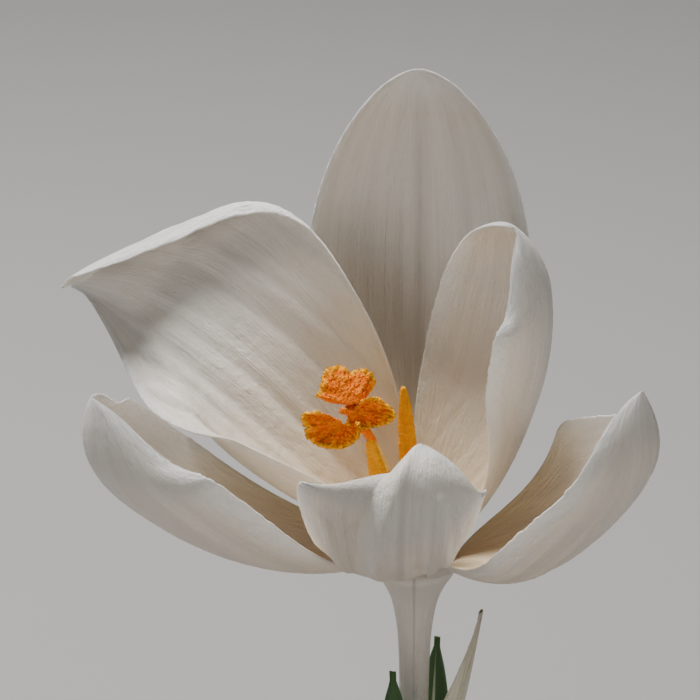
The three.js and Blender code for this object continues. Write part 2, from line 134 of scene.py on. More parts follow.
def polar(radius: Array, azimuth: float, z: Array, sideways: Array | float = 0.0) -> Array:
    """Return points at a radius, azimuth and height, shifted sideways to the azimuth's right.

    Args:
        radius: Distances from the axis.
        azimuth: Degrees from the front.
        z: Heights.
        sideways: Shifts along the azimuth's right-hand side.

    Returns:
        The points, as (..., 3).
    """
    a = math.radians(azimuth)
    x = radius * math.sin(a) + sideways * math.cos(a)
    y = -radius * math.cos(a) + sideways * math.sin(a)
    return np.stack(np.broadcast_arrays(x, y, z), axis=-1).astype(float)


def grown(length: float, angles: Array) -> tuple[Array, Array]:
    """Follow a line that grows in even steps.

    Args:
        length: The line's length.
        angles: Its angle from upright over each step, in radians.

    Returns:
        How far out and how far up it is at its start and after each step.
    """
    step = length / len(angles)
    out = np.concatenate([[0], np.cumsum(step * np.sin(angles))])
    up = np.concatenate([[0], np.cumsum(step * np.cos(angles))])
    return out, up


def all_round(segments: int) -> Array:
    """Return azimuths evenly spaced all round the axis."""
    return np.arange(segments) * 360 / segments


# ---- meshes ----


@dataclass
class MeshData:
    """Points and faces of one closed form, with the blade coordinates that shaders read.

    Attributes:
        points: Vertices in millimetres, as (n, 3).
        faces: Vertex numbers of each face.
        blade: For each vertex, how far along, how far across and which face, as (n, 3).
    """

    points: Array
    faces: list[tuple[int, ...]]
    blade: Array

    def facing_out(self) -> "MeshData":
        """Turn the faces of this closed form outward.

        Returns:
            The form, on the same points.
        """
        volume = 0.0
        for corners in {len(face) for face in self.faces}:
            block = np.array([face for face in self.faces if len(face) == corners])
            for k in range(1, corners - 1):
                a, b, c = (self.points[block[:, i]] for i in (0, k, k + 1))
                volume += float(np.sum(a * np.cross(b, c)))
        faces = self.faces if volume > 0 else [face[::-1] for face in self.faces]
        return MeshData(self.points, faces, self.blade)


def grid_faces(
    rows: int, columns: int, offset: int = 0, flip: bool = False, wrap: bool = False
) -> list[tuple[int, ...]]:
    """Return the four-sided faces of a grid of points.

    Args:
        rows: Rows of points.
        columns: Points in a row.
        offset: Number of the first point.
        flip: Whether the faces look the other way.
        wrap: Whether each row's last point joins its first.

    Returns:
        The faces, as tuples of vertex numbers.
    """
    faces = []
    for i in range(rows - 1):
        for j in range(columns if wrap else columns - 1):
            k = (j + 1) % columns
            a, b = offset + i * columns + j, offset + i * columns + k
            face = (a, b, b + columns, a + columns)
            faces.append(face[::-1] if flip else face)
    return faces


def grid_normals(grid: Array) -> Array:
    """Work out the unit normals of a grid of points.

    Args:
        grid: The points, as (rows, columns, 3).

    Returns:
        Their normals: the direction along the rows crossed with that across them.
    """
    along = np.gradient(grid, axis=0)
    across = np.gradient(grid, axis=1)
    normal = np.cross(along, across)
    length = np.linalg.norm(normal, axis=-1, keepdims=True)
    return normal / np.maximum(length, 1e-9)


def blade_mesh(grid: Array, thickness: Array, s: Array, t: Array) -> MeshData:
    """Return a closed blade over a grid of points.

    Args:
        grid: Points of its middle surface, as (rows, columns, 3).
        thickness: Its thickness at each point.
        s: How far along each point is, from 0 to 1.
        t: How far across each point is, from -1 to 1.

    Returns:
        The blade's mesh.
    """
    rows, columns = grid.shape[:2]
    half = (thickness / 2)[..., None] * grid_normals(grid)
    points = np.concatenate([(grid + half).reshape(-1, 3), (grid - half).reshape(-1, 3)])
    size = rows * columns
    faces = grid_faces(rows, columns) + grid_faces(rows, columns, size, flip=True)
    rim = list(range(columns))
    rim += [i * columns + columns - 1 for i in range(1, rows)]
    rim += [(rows - 1) * columns + j for j in range(columns - 2, -1, -1)]
    rim += [i * columns for i in range(rows - 2, 0, -1)]
    for a, b in zip(rim, rim[1:] + rim[:1]):
        faces.append((b, a, a + size, b + size))
    side = np.ones(size)
    flat = np.stack([s.ravel(), t.ravel()], axis=-1)
    blade = np.concatenate([np.column_stack([flat, side]), np.column_stack([flat, -side])])
    return MeshData(points, faces, blade).facing_out()


def turned_mesh(rings: Array, closed: bool) -> MeshData:
    """Return a turned form from its rings, first to last.

    Args:
        rings: Points of each ring, as (rings, segments, 3).
        closed: Whether the last ring joins the first, as in a hollow form. Otherwise both ends
            are capped.

    Returns:
        The form's mesh.
    """
    count, segments = rings.shape[:2]
    points = rings.reshape(-1, 3)
    if closed:
        looped = grid_faces(count + 1, segments, wrap=True)
        total = count * segments
        faces = [tuple(i % total for i in face) for face in looped]
    else:
        faces = grid_faces(count, segments, wrap=True)
        faces.append(tuple(range(segments))[::-1])
        faces.append(tuple(range((count - 1) * segments, count * segments)))
    along, around = np.meshgrid(np.linspace(0, 1, count), np.linspace(-1, 1, segments), indexing="ij")
    blade = np.stack([along.ravel(), around.ravel(), np.ones(count * segments)], axis=-1)
    return MeshData(points, faces, blade).facing_out()


def merged(parts: Sequence[MeshData]) -> MeshData:
    """Put several forms together.

    Args:
        parts: The forms.

    Returns:
        One form that holds them in order.
    """
    starts = np.cumsum([0] + [len(part.points) for part in parts])
    faces = [
        tuple(i + int(start) for i in face) for start, part in zip(starts, parts) for face in part.faces
    ]
    points = np.vstack([part.points for part in parts])
    return MeshData(points, faces, np.vstack([part.blade for part in parts]))


def rounded(corners: Sequence[Point], spacing: float) -> Array:
    """Return a closed outline with its corners rounded.

    Args:
        corners: Radius, height and rounding of each corner.
        spacing: How far apart its points are, at most.

    Returns:
        The outline's radii and heights, as (n, 2), without its first point at the end.
    """
    flat = np.array(corners, float)
    bends = []
    for before, corner, after in zip(np.roll(flat, 1, axis=0), flat, np.roll(flat, -1, axis=0)):
        ends = []
        for side in (before, after):
            away = side[:2] - corner[:2]
            ends.append(corner[:2] + corner[2] * away / np.linalg.norm(away))
        u = np.linspace(0, 1, 7)[:, None]
        bends.append((1 - u) ** 2 * ends[0] + 2 * u * (1 - u) * corner[:2] + u**2 * ends[1])
    outline = np.vstack(bends + [bends[0][:1]])
    points = []
    for start, end in zip(outline, outline[1:]):
        count = max(1, math.ceil(np.linalg.norm(end - start) / spacing))
        points.append(start + (end - start) * np.arange(count)[:, None] / count)
    return np.vstack(points)


def turned(profile: Array, azimuths: Array) -> Array:
    """Turn a profile round the axis.

    Args:
        profile: Its radii and heights, as (n, 2).
        azimuths: The azimuths it is turned to.

    Returns:
        A ring of points for each point of the profile.
    """
    radius, z = profile[:, 0, None], profile[:, 1, None]
    a = np.radians(azimuths)
    return np.stack(np.broadcast_arrays(radius * np.sin(a), -radius * np.cos(a), z), axis=-1)


def path_frames(path: Array) -> tuple[Array, Array]:
    """Return two unit vectors square to a path at each of its points, that turn as little as they can.

    Args:
        path: Points along it, as (n, 3).

    Returns:
        The two vectors at each point.
    """
    tangent = np.gradient(path, axis=0)
    tangent /= np.linalg.norm(tangent, axis=1, keepdims=True)
    first = np.zeros_like(path)
    side = np.cross(tangent[0], [0.0, 1.0, 0.0] if abs(tangent[0][1]) < 0.9 else [1.0, 0.0, 0.0])
    for i, direction in enumerate(tangent):
        side = side - direction * side.dot(direction)
        side /= np.linalg.norm(side)
        first[i] = side
    return first, np.cross(tangent, first)


def curve_through(points: Sequence[Point], count: int) -> Array:
    """Draw a smooth curve through a few points.

    Args:
        points: The points.
        count: How many points the curve gets.

    Returns:
        Evenly spaced points along the curve.
    """
    fixed = np.array(points, float)
    padded = np.vstack([2 * fixed[0] - fixed[1], fixed, 2 * fixed[-1] - fixed[-2]])
    spans = len(fixed) - 1
    fine = []
    for i in range(spans):
        a, b, c, d = padded[i : i + 4]
        u = np.linspace(0, 1, 30, endpoint=i == spans - 1)[:, None]
        square, cube = 2 * a - 5 * b + 4 * c - d, 3 * b - a - 3 * c + d
        fine.append(0.5 * (2 * b + (c - a) * u + square * u**2 + cube * u**3))
    fine = np.vstack(fine)
    gone = np.concatenate([[0], np.cumsum(np.linalg.norm(np.diff(fine, axis=0), axis=1))])
    at = np.linspace(0, gone[-1], count)
    return np.stack([np.interp(at, gone, fine[:, k]) for k in range(3)], axis=-1)


def rod_mesh(path: Array, radius: Callable[[Array, Array], Array], sides: int) -> MeshData:
    """Return a rod along a path.

    Args:
        path: Points of its middle line.
        radius: Gives its radius for how far along, from 0 to 1, and the angle round it.
        sides: How many sides it has.

    Returns:
        The rod's mesh.
    """
    first, second = path_frames(path)
    u, angle = np.meshgrid(
        np.linspace(0, 1, len(path)), np.linspace(0, 2 * math.pi, sides, endpoint=False), indexing="ij"
    )
    reach = radius(u, angle)[..., None]
    rings = path[:, None] + reach * (
        np.cos(angle)[..., None] * first[:, None] + np.sin(angle)[..., None] * second[:, None]
    )
    return turned_mesh(rings, closed=False)


def new_object(name: str, data: bpy.types.ID) -> bpy.types.Object:
    """Make an object and put it in the scene.

    Args:
        name: The object's name.
        data: Its mesh, camera or light.

    Returns:
        The object.
    """
    made = bpy.data.objects.new(name, data)
    bpy.context.scene.collection.objects.link(made)
    return made


def look_along(seer: bpy.types.Object, direction: Vector) -> None:
    """Turn a camera or a light to look along a direction."""
    seer.rotation_mode = "QUATERNION"
    seer.rotation_quaternion = direction.to_track_quat("-Z", "Y")


def new_piece(
    name: str, mesh: MeshData, material: bpy.types.Material, nodes: Sequence[str]
) -> None:
    """Make an object of a mesh, dress it and put it in the frame.

    Args:
        name: The piece's name.
        mesh: Its form, in millimetres.
        material: Its finish.
        nodes: The nodes it stands for.
    """
    data = bpy.data.meshes.new(name)
    data.from_pydata((mesh.points * MM).tolist(), [], mesh.faces)
    attribute = data.attributes.new("blade", "FLOAT_VECTOR", "POINT")
    attribute.data.foreach_set("vector", mesh.blade.astype(np.float32).ravel())
    data.polygons.foreach_set("use_smooth", [True] * len(data.polygons))
    data.materials.append(material)
    data.validate()
    data.update()
    piece = new_object(name, data)
    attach(piece, BODY)
    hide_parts(*nodes)
    LOG.info("%s: %d points, for %s", name, len(data.vertices), ", ".join(nodes))


# ---- shader maths ----


class Value:
    """An output socket that arithmetic can be written on."""

    def __init__(self, shader: "Shader", socket: bpy.types.NodeSocket) -> None:
        """Wrap a socket of a shader's tree."""
        self.shader = shader
        self.socket = socket

    def _math(self, operation: str, first: Any, second: Any) -> "Value":
        """Return the result of a Math node on two values or numbers."""
        return self.shader.node("ShaderNodeMath", {"operation": operation}, {0: first, 1: second})

    def __add__(self, other: Any) -> "Value":
        """Return self + other."""
        return self._math("ADD", self, other)

    def __radd__(self, other: Any) -> "Value":
        """Return other + self."""
        return self._math("ADD", other, self)

    def __sub__(self, other: Any) -> "Value":
        """Return self - other."""
        return self._math("SUBTRACT", self, other)

    def __rsub__(self, other: Any) -> "Value":
        """Return other - self."""
        return self._math("SUBTRACT", other, self)

    def __mul__(self, other: Any) -> "Value":
        """Return self * other."""
        return self._math("MULTIPLY", self, other)

    def __rmul__(self, other: Any) -> "Value":
        """Return other * self."""
        return self._math("MULTIPLY", other, self)

    def __abs__(self) -> "Value":
        """Return self without its sign."""
        return self._math("ABSOLUTE", self, 0.0)

    def ramp(self, low: float, high: float) -> "Value":
        """Ease this value from 0 to 1.

        Args:
            low: Where it leaves 0.
            high: Where it reaches 1.

        Returns:
            The eased value.
        """
        return self.shader.node(
            "ShaderNodeMapRange",
            {"interpolation_type": "SMOOTHSTEP"},
            {"Value": self, "From Min": low, "From Max": high},
        )


class Shader:
    """A material's node tree, built up by its methods."""

    def __init__(self, name: str) -> None:
        """Start a material with only an output.

        Args:
            name: The material's name.
        """
        self.material = bpy.data.materials.new(name)
        self.material.use_nodes = True
        self.tree = self.material.node_tree
        self.tree.nodes.clear()
        self.output = self.tree.nodes.new("ShaderNodeOutputMaterial")

    def node(
        self,
        kind: str,
        settings: dict[str, Any] | None = None,
        inputs: dict[Any, Any] | None = None,
        out: int | str = 0,
    ) -> Value:
        """Add a node.

        Args:
            kind: The node's type.
            settings: Its properties, set first.
            inputs: Values or links for its sockets, by name or number.
            out: Which output to return.

        Returns:
            That output.
        """
        made = self.tree.nodes.new(kind)
        for key, value in (settings or {}).items():
            setattr(made, key, value)
        for key, value in (inputs or {}).items():
            if isinstance(value, Value):
                self.tree.links.new(value.socket, made.inputs[key])
            elif isinstance(value, tuple) and made.inputs[key].type == "RGBA":
                made.inputs[key].default_value = (*value, 1.0)
            else:
                made.inputs[key].default_value = value
        return Value(self, made.outputs[out])

    def blade(self) -> tuple[Value, Value, Value]:
        """Read the blade coordinates.

        Returns:
            How far along, how far across and which face, each as a value.
        """
        vector = self.node("ShaderNodeAttribute", {"attribute_name": "blade"}, out="Vector")
        split = self.node("ShaderNodeSeparateXYZ", inputs={0: vector})
        outputs = split.socket.node.outputs
        return tuple(Value(self, outputs[k]) for k in range(3))

    def place(self) -> Value:
        """Return the point in the object's own space, in metres."""
        return self.node("ShaderNodeTexCoord", out="Object")

    def vector(self, x: Any, y: Any, z: Any) -> Value:
        """Return three values as one vector."""
        return self.node("ShaderNodeCombineXYZ", inputs={0: x, 1: y, 2: z})

    def noise(self, at: Value, scale: float, detail: float = 3.0, roughness: float = 0.55) -> Value:
        """Return noise from 0 to 1 at a vector."""
        inputs = {"Vector": at, "Scale": scale, "Detail": detail, "Roughness": roughness}
        return self.node("ShaderNodeTexNoise", inputs=inputs)

    def mix(self, factor: Value | float, first: Any, second: Any) -> Value:
        """Return a colour between two, by a factor."""
        inputs = {"Factor": factor, 6: first, 7: second}
        return self.node("ShaderNodeMix", {"data_type": "RGBA"}, inputs, out=2)

    def bump(self, height: Value, distance: float, strength: float, after: Value | None = None) -> Value:
        """Tip the surface's normal by a height.

        Args:
            height: The height, from 0 to 1.
            distance: How far 1 stands proud, in metres.
            strength: How much of the effect is kept.
            after: A normal that is tipped already.

        Returns:
            The normal.
        """
        inputs = {"Height": height, "Distance": distance, "Strength": strength}
        if after is not None:
            inputs["Normal"] = after
        return self.node("ShaderNodeBump", inputs=inputs)

    def finish(self, **sockets: Any) -> bpy.types.Material:
        """End the material in a Principled surface.

        Args:
            **sockets: Values or links for its sockets, underscores standing for spaces.

        Returns:
            The material.
        """
        inputs = {key.replace("_", " "): value for key, value in sockets.items()}
        surface = self.node("ShaderNodeBsdfPrincipled", inputs=inputs)
        self.tree.links.new(surface.socket, self.output.inputs["Surface"])
        return self.material


# ---- finishes ----


@dataclass(frozen=True)
class PetalFinish:
    """A white tepal: satin, finely veined and crinkled, and warm toward the throat.

    Attributes:
        white: Colour of the blade.
        shade: Colour along the veins.
        midrib: Colour down the middle.
        edge: Colour of the painted highlight along the margins and at the tip.
        cream: Colour of the inner face at the throat.
        glow: How much light passes through.
        veins: How many veins there are across the blade.
        grain: How fine its grain is, per metre.
    """

    white: Colour = (0.77, 0.74, 0.695)
    shade: Colour = (0.62, 0.59, 0.55)
    midrib: Colour = (0.52, 0.495, 0.46)
    edge: Colour = (0.95, 0.94, 0.915)
    cream: Colour = (0.68, 0.53, 0.33)
    glow: float = 0.4
    veins: float = 26.0
    grain: float = 2600.0

    def material(self, name: str, seed: float) -> bpy.types.Material:
        """Return the finish as a material.

        Args:
            name: The material's name.
            seed: Which tepal's veins and crinkles.

        Returns:
            The material.
        """
        sh = Shader(name)
        s, t, side = sh.blade()
        spread = t + 0.02 * sh.noise(sh.vector(t * 2.0, s * 3.0, seed), 1.0)
        fine = sh.noise(sh.vector(spread * self.veins * 3.2, s * 2.5, seed), 1.0, 2.0)
        broad = sh.noise(sh.vector(spread * self.veins * 0.3, s * 0.9, seed + 3.0), 1.0, 2.0)
        lengthwise = s.ramp(0.0, 0.25)
        vein = fine.ramp(0.3, 0.72) * lengthwise
        band = broad.ramp(0.3, 0.72) * lengthwise
        grain = sh.noise(sh.place(), self.grain, 2.0)
        crinkle = sh.noise(sh.vector(t * 11.0, s * 17.0, seed), 1.0, 6.0, 0.66)
        margin = (abs(t).ramp(0.78, 0.98) + s.ramp(0.9, 1.0)) * s.ramp(0.2, 0.5)
        inner = side.ramp(-0.5, 0.5)
        colour = sh.mix(vein * 0.35 + band * 0.45, self.white, self.shade)
        middle = (1.0 - abs(t).ramp(0.0, 0.07)) * lengthwise * (1.0 - s.ramp(0.75, 1.0))
        colour = sh.mix(middle * 0.5, colour, self.midrib)
        # Painted highlight: the margins and the tip are lightened toward the edge colour, as where they
        # catch the light.
        colour = sh.mix(margin * (0.45 + 0.5 * crinkle), colour, self.edge)
        warm = (1.0 - s.ramp(0.0, 0.75)) * (inner * 0.8 + 0.15)
        colour = sh.mix(warm, colour, self.cream)
        normal = sh.bump(vein, 0.00008, 0.7)
        normal = sh.bump(crinkle * (0.6 + margin), 0.0011, 0.7, normal)
        normal = sh.bump(grain, 0.00002, 0.5, normal)
        return sh.finish(
            Base_Color=colour,
            Roughness=0.44 + 0.14 * grain,
            Normal=normal,
            Subsurface_Weight=self.glow,
            Subsurface_Radius=(1.0, 0.85, 0.7),
            Subsurface_Scale=0.0008,
            Sheen_Weight=0.1,
            Sheen_Roughness=0.4,
            Specular_IOR_Level=0.35,
        )


@dataclass(frozen=True)
class PaperFinish:
    """A thin papery skin round the shoot, with long veins.

    Attributes:
        pale: Colour of the skin.
        vein: Colour of its veins.
        tip: Colour toward its tip.
        veins: How many veins there are across it.
        blotches: How close its blotches are, per metre.
    """

    pale: Colour = (0.70, 0.69, 0.58)
    vein: Colour = (0.46, 0.48, 0.33)
    tip: Colour = (0.60, 0.50, 0.36)
    veins: float = 16.0
    blotches: float = 180.0

    def material(self, name: str) -> bpy.types.Material:
        """Return the finish as a material.

        Args:
            name: The material's name.

        Returns:
            The material.
        """
        sh = Shader(name)
        s, t, _ = sh.blade()
        lines = sh.noise(sh.vector(t * self.veins, s * 1.3, 2.0), 1.0, 3.0)
        blotch = sh.noise(sh.place(), self.blotches, 3.0)
        colour = sh.mix(lines.ramp(0.45, 0.7) * 0.8, self.pale, self.vein)
        colour = sh.mix(s.ramp(0.82, 1.0) * 0.6 + blotch * 0.15, colour, self.tip)
        normal = sh.bump(lines, 0.0002, 0.7)
        normal = sh.bump(blotch, 0.00015, 0.5, normal)
        return sh.finish(
            Base_Color=colour,
            Roughness=0.45 + 0.2 * blotch,
            Normal=normal,
            Subsurface_Weight=0.3,
            Subsurface_Radius=(1.0, 0.95, 0.6),
            Subsurface_Scale=0.001,
        )


@dataclass(frozen=True)
class LeafFinish:
    """A dark green blade with a pale silvery line along its middle.

    Attributes:
        green: Colour of the blade.
        deep: Its darker patches.
        line: Colour of the pale line.
        base: Colour where it comes out of the sheath.
        line_width: Half the pale line's width, as a share of the blade's half width.
        patches: How close its patches are, per metre.
        grain: How fine its grain is, per metre.
    """

    green: Colour = (0.055, 0.135, 0.030)
    deep: Colour = (0.022, 0.070, 0.018)
    line: Colour = (0.50, 0.58, 0.42)
    base: Colour = (0.42, 0.48, 0.26)
    line_width: float = 0.17
    patches: float = 150.0
    grain: float = 1800.0

    def material(self, name: str) -> bpy.types.Material:
        """Return the finish as a material.

        Args:
            name: The material's name.

        Returns:
            The material.
        """
        sh = Shader(name)
        s, t, side = sh.blade()
        veins = sh.noise(sh.vector(t * 14.0, s * 2.0, 5.0), 1.0, 2.0)
        patches = sh.noise(sh.place(), self.patches, 4.0)
        fine = sh.noise(sh.place(), self.grain, 2.0)
        colour = sh.mix(veins * 0.5 + patches * 0.5, self.green, self.deep)
        edge = abs(t) + 0.03 * (patches - 0.5)
        pale = 1.0 - edge.ramp(self.line_width * 0.75, self.line_width * 1.2)
        pale = pale * (1.0 - s.ramp(0.9, 1.0))
        colour = sh.mix(pale * side.ramp(-0.5, 0.5) * 0.9, colour, self.line)
        colour = sh.mix(1.0 - s.ramp(0.3, 0.5), colour, self.base)
        normal = sh.bump(veins, 0.00015, 0.6)
        normal = sh.bump(fine, 0.00003, 0.5, normal)
        return sh.finish(
            Base_Color=colour,
            Roughness=0.34 + 0.2 * patches,
            Normal=normal,
            Subsurface_Weight=0.08,
            Subsurface_Radius=(0.4, 1.0, 0.2),
            Subsurface_Scale=0.0008,
            Coat_Weight=0.12,
            Coat_Roughness=0.35,
        )


@dataclass(frozen=True)
class StigmaFinish:
    """The orange, velvety stigma, yellow and granular along its edges.

    Attributes:
        face: Colour of its faces.
        deep: Colour of its hollows.
        edge: Colour of its edges and grains.
        style: Colour of the style below it.
        grains: How close its grains are, per metre.
        blotches: How close its blotches are, per metre.
    """

    face: Colour = (0.88, 0.215, 0.002)
    deep: Colour = (0.80, 0.15, 0.002)
    edge: Colour = (0.98, 0.44, 0.002)
    style: Colour = (0.86, 0.62, 0.20)
    grains: float = 5200.0
    blotches: float = 1500.0

    def material(self, name: str) -> bpy.types.Material:
        """Return the finish as a material.

        Args:
            name: The material's name.

        Returns:
            The material.
        """
        sh = Shader(name)
        s, _, _ = sh.blade()
        grains = sh.node("ShaderNodeTexVoronoi", inputs={"Vector": sh.place(), "Scale": self.grains})
        blotch = sh.noise(sh.place(), self.blotches, 3.0)
        speck = (1.0 - grains.ramp(0.05, 0.5)) * blotch.ramp(0.4, 0.6)
        rim = s.ramp(0.84, 0.97) + 0.35 * s.ramp(0.6, 0.9) * blotch.ramp(0.4, 0.6)
        colour = sh.mix(blotch.ramp(0.35, 0.65), self.deep, self.face)
        colour = sh.mix((speck * 0.55 + rim * 0.75) * s.ramp(0.05, 0.2), colour, self.edge)
        colour = sh.mix(1.0 - s.ramp(0.0, 0.02), colour, self.style)
        normal = sh.bump(1.0 - grains.ramp(0.0, 0.6), 0.00012, 0.8)
        return sh.finish(Base_Color=colour, Roughness=0.75, Normal=normal, Specular_IOR_Level=0.06)


@dataclass(frozen=True)
class PollenFinish:
    """A ripe anther covered in yellow pollen.

    Attributes:
        pollen: Colour of the pollen.
        deep: Colour of the darker blotches, and painted shade in the grooves between the grains.
        grains: How close its grains are, per metre.
        blotches: How close its blotches are, per metre.
    """

    pollen: Colour = (0.92, 0.42, 0.003)
    deep: Colour = (0.80, 0.30, 0.002)
    grains: float = 9000.0
    blotches: float = 1100.0

    def material(self, name: str) -> bpy.types.Material:
        """Return the finish as a material.

        Args:
            name: The material's name.

        Returns:
            The material.
        """
        sh = Shader(name)
        grains = sh.node("ShaderNodeTexVoronoi", inputs={"Vector": sh.place(), "Scale": self.grains})
        blotch = sh.noise(sh.place(), self.blotches, 3.0)
        height = 1.0 - grains.ramp(0.0, 0.6)
        # Painted shade: the grooves between the grains are darkened toward the deep colour; the blotches
        # are the pollen's own uneven tone.
        colour = sh.mix(blotch.ramp(0.3, 0.6) * 0.6 + height * 0.4, self.deep, self.pollen)
        normal = sh.bump(height, 0.00007, 0.8)
        return sh.finish(Base_Color=colour, Roughness=0.85, Normal=normal, Specular_IOR_Level=0.06)


@dataclass(frozen=True)
class FilamentFinish:
    """A smooth cream filament, faintly streaked.

    Attributes:
        cream: Its colour.
        streak: Colour of its streaks.
    """

    cream: Colour = (0.82, 0.76, 0.58)
    streak: Colour = (0.74, 0.62, 0.36)

    def material(self, name: str) -> bpy.types.Material:
        """Return the finish as a material.

        Args:
            name: The material's name.

        Returns:
            The material.
        """
        sh = Shader(name)
        s, t, _ = sh.blade()
        streaks = sh.noise(sh.vector(t * 6.0, s * 3.0, 1.0), 1.0)
        colour = sh.mix(streaks.ramp(0.35, 0.7), self.cream, self.streak)
        return sh.finish(
            Base_Color=colour,
            Roughness=0.4,
            Normal=sh.bump(streaks, 0.00004, 0.5),
            Subsurface_Weight=0.3,
            Subsurface_Scale=0.0006,
        )


@dataclass(frozen=True)
class ClayFinish:
    """Unglazed fired clay, with fine grit, darker clouds and a pale bloom of lime.

    Attributes:
        clay: Colour of the clay.
        dark: Its darker clouds, and the painted shade in its pits.
        lime: Colour of the bloom.
        clouds: How close its clouds are, per metre.
        blooms: How close its patches of bloom are, per metre.
        grit: How fine its grit is, per metre.
        pits: How close its pits are, per metre.
    """

    clay: Colour = (0.46, 0.155, 0.075)
    dark: Colour = (0.33, 0.095, 0.045)
    lime: Colour = (0.60, 0.50, 0.42)
    clouds: float = 38.0
    blooms: float = 70.0
    grit: float = 900.0
    pits: float = 700.0

    def material(self, name: str) -> bpy.types.Material:
        """Return the finish as a material.

        Args:
            name: The material's name.

        Returns:
            The material.
        """
        sh = Shader(name)
        place = sh.place()
        clouds = sh.noise(place, self.clouds, 5.0, 0.6)
        grit = sh.noise(place, self.grit, 3.0, 0.6)
        pits = sh.node("ShaderNodeTexVoronoi", inputs={"Vector": place, "Scale": self.pits})
        bloom = sh.noise(place, self.blooms, 6.0, 0.7)
        colour = sh.mix(clouds.ramp(0.3, 0.7), self.clay, self.dark)
        colour = sh.mix(bloom.ramp(0.5, 0.85) * 0.3, colour, self.lime)
        # Painted shade: the pits are darkened toward the dark colour.
        colour = sh.mix((1.0 - pits.ramp(0.0, 0.16)) * 0.35, colour, self.dark)
        normal = sh.bump(grit, 0.00018, 0.5)
        normal = sh.bump(pits.ramp(0.0, 0.14), 0.00015, 0.5, normal)
        rough = 0.78 + 0.16 * grit
        return sh.finish(Base_Color=colour, Roughness=rough, Normal=normal, Specular_IOR_Level=0.25)


@dataclass(frozen=True)
class SoilFinish:
    """Damp, crumbly potting soil.

    Attributes:
        soil: Colour of the soil.
        dark: Painted shade in its hollows.
        fibre: Colour of the drier fibres.
        crumbs: How close its crumbs are, per metre.
        specks: How close its specks are, per metre.
    """

    soil: Colour = (0.050, 0.028, 0.016)
    dark: Colour = (0.016, 0.009, 0.006)
    fibre: Colour = (0.16, 0.095, 0.052)
    crumbs: float = 520.0
    specks: float = 1400.0

    def material(self, name: str) -> bpy.types.Material:
        """Return the finish as a material.

        Args:
            name: The material's name.

        Returns:
            The material.
        """
        sh = Shader(name)
        place = sh.place()
        crumbs = sh.noise(place, self.crumbs, 5.0, 0.65)
        specks = sh.noise(place, self.specks, 3.0, 0.6)
        # Painted shade: the soil is darkened where its crumbs dip, in the hollows of the bump.
        colour = sh.mix(crumbs.ramp(0.35, 0.65), self.dark, self.soil)
        colour = sh.mix(specks.ramp(0.62, 0.75) * 0.7, colour, self.fibre)
        normal = sh.bump(crumbs, 0.0007, 0.8)
        normal = sh.bump(specks, 0.0002, 0.6, normal)
        rough = 0.82 + 0.14 * specks
        return sh.finish(Base_Color=colour, Roughness=rough, Normal=normal, Specular_IOR_Level=0.25)


@dataclass(frozen=True)
class TunicFinish:
    """The fibrous brown tunic of a corm.

    Attributes:
        brown: Colour of the fibres.
        dark: Painted shade between the fibres, and the colour of its darker patches.
        fibres: How close they are, per metre.
        patches: How close its patches are, per metre.
    """

    brown: Colour = (0.27, 0.13, 0.045)
    dark: Colour = (0.10, 0.045, 0.018)
    fibres: float = 420.0
    patches: float = 160.0

    def material(self, name: str) -> bpy.types.Material:
        """Return the finish as a material.

        Args:
            name: The material's name.

        Returns:
            The material.
        """
        sh = Shader(name)
        place = sh.place()
        waves = {"Scale": self.fibres, "Distortion": 9.0, "Detail": 3.0, "Detail Scale": 1.6}
        fibres = sh.node("ShaderNodeTexWave", {"bands_direction": "X"}, {"Vector": place} | waves)
        patches = sh.noise(place, self.patches, 3.0)
        # Painted shade: the grooves between the fibres are darkened; the patches are the tunic's own
        # uneven tone.
        colour = sh.mix(fibres * 0.7 + patches * 0.3, self.dark, self.brown)
        rough = 0.75 + 0.15 * patches
        return sh.finish(Base_Color=colour, Roughness=rough, Normal=sh.bump(fibres, 0.0003, 0.7))


@dataclass(frozen=True)
class FloorFinish:
    """A plain pale floor, very faintly mottled.

    Attributes:
        pale: Its lighter colour.
        shade: Its darker colour.
        mottles: How close they are, per metre.
    """

    pale: Colour = (0.33, 0.33, 0.327)
    shade: Colour = (0.315, 0.315, 0.312)
    mottles: float = 6.0

    def material(self, name: str) -> bpy.types.Material:
        """Return the finish as a material.

        Args:
            name: The material's name.

        Returns:
            The material.
        """
        sh = Shader(name)
        mottle = sh.noise(sh.place(), self.mottles, 2.0)
        return sh.finish(Base_Color=sh.mix(mottle, self.pale, self.shade), Roughness=0.9)


# ---- the bloom ----


class Whorl(Enum):
    """The two rings of tepals, by how far out on the throat their feet stand."""

    OUTER = 1.5
    INNER = 0.0


class Form(Enum):
    """What a fold does: a ridge along its line, or a step or a bend of what is left of it."""

    RIDGE = "ridge"
    STEP = "step"
    BEND = "bend"


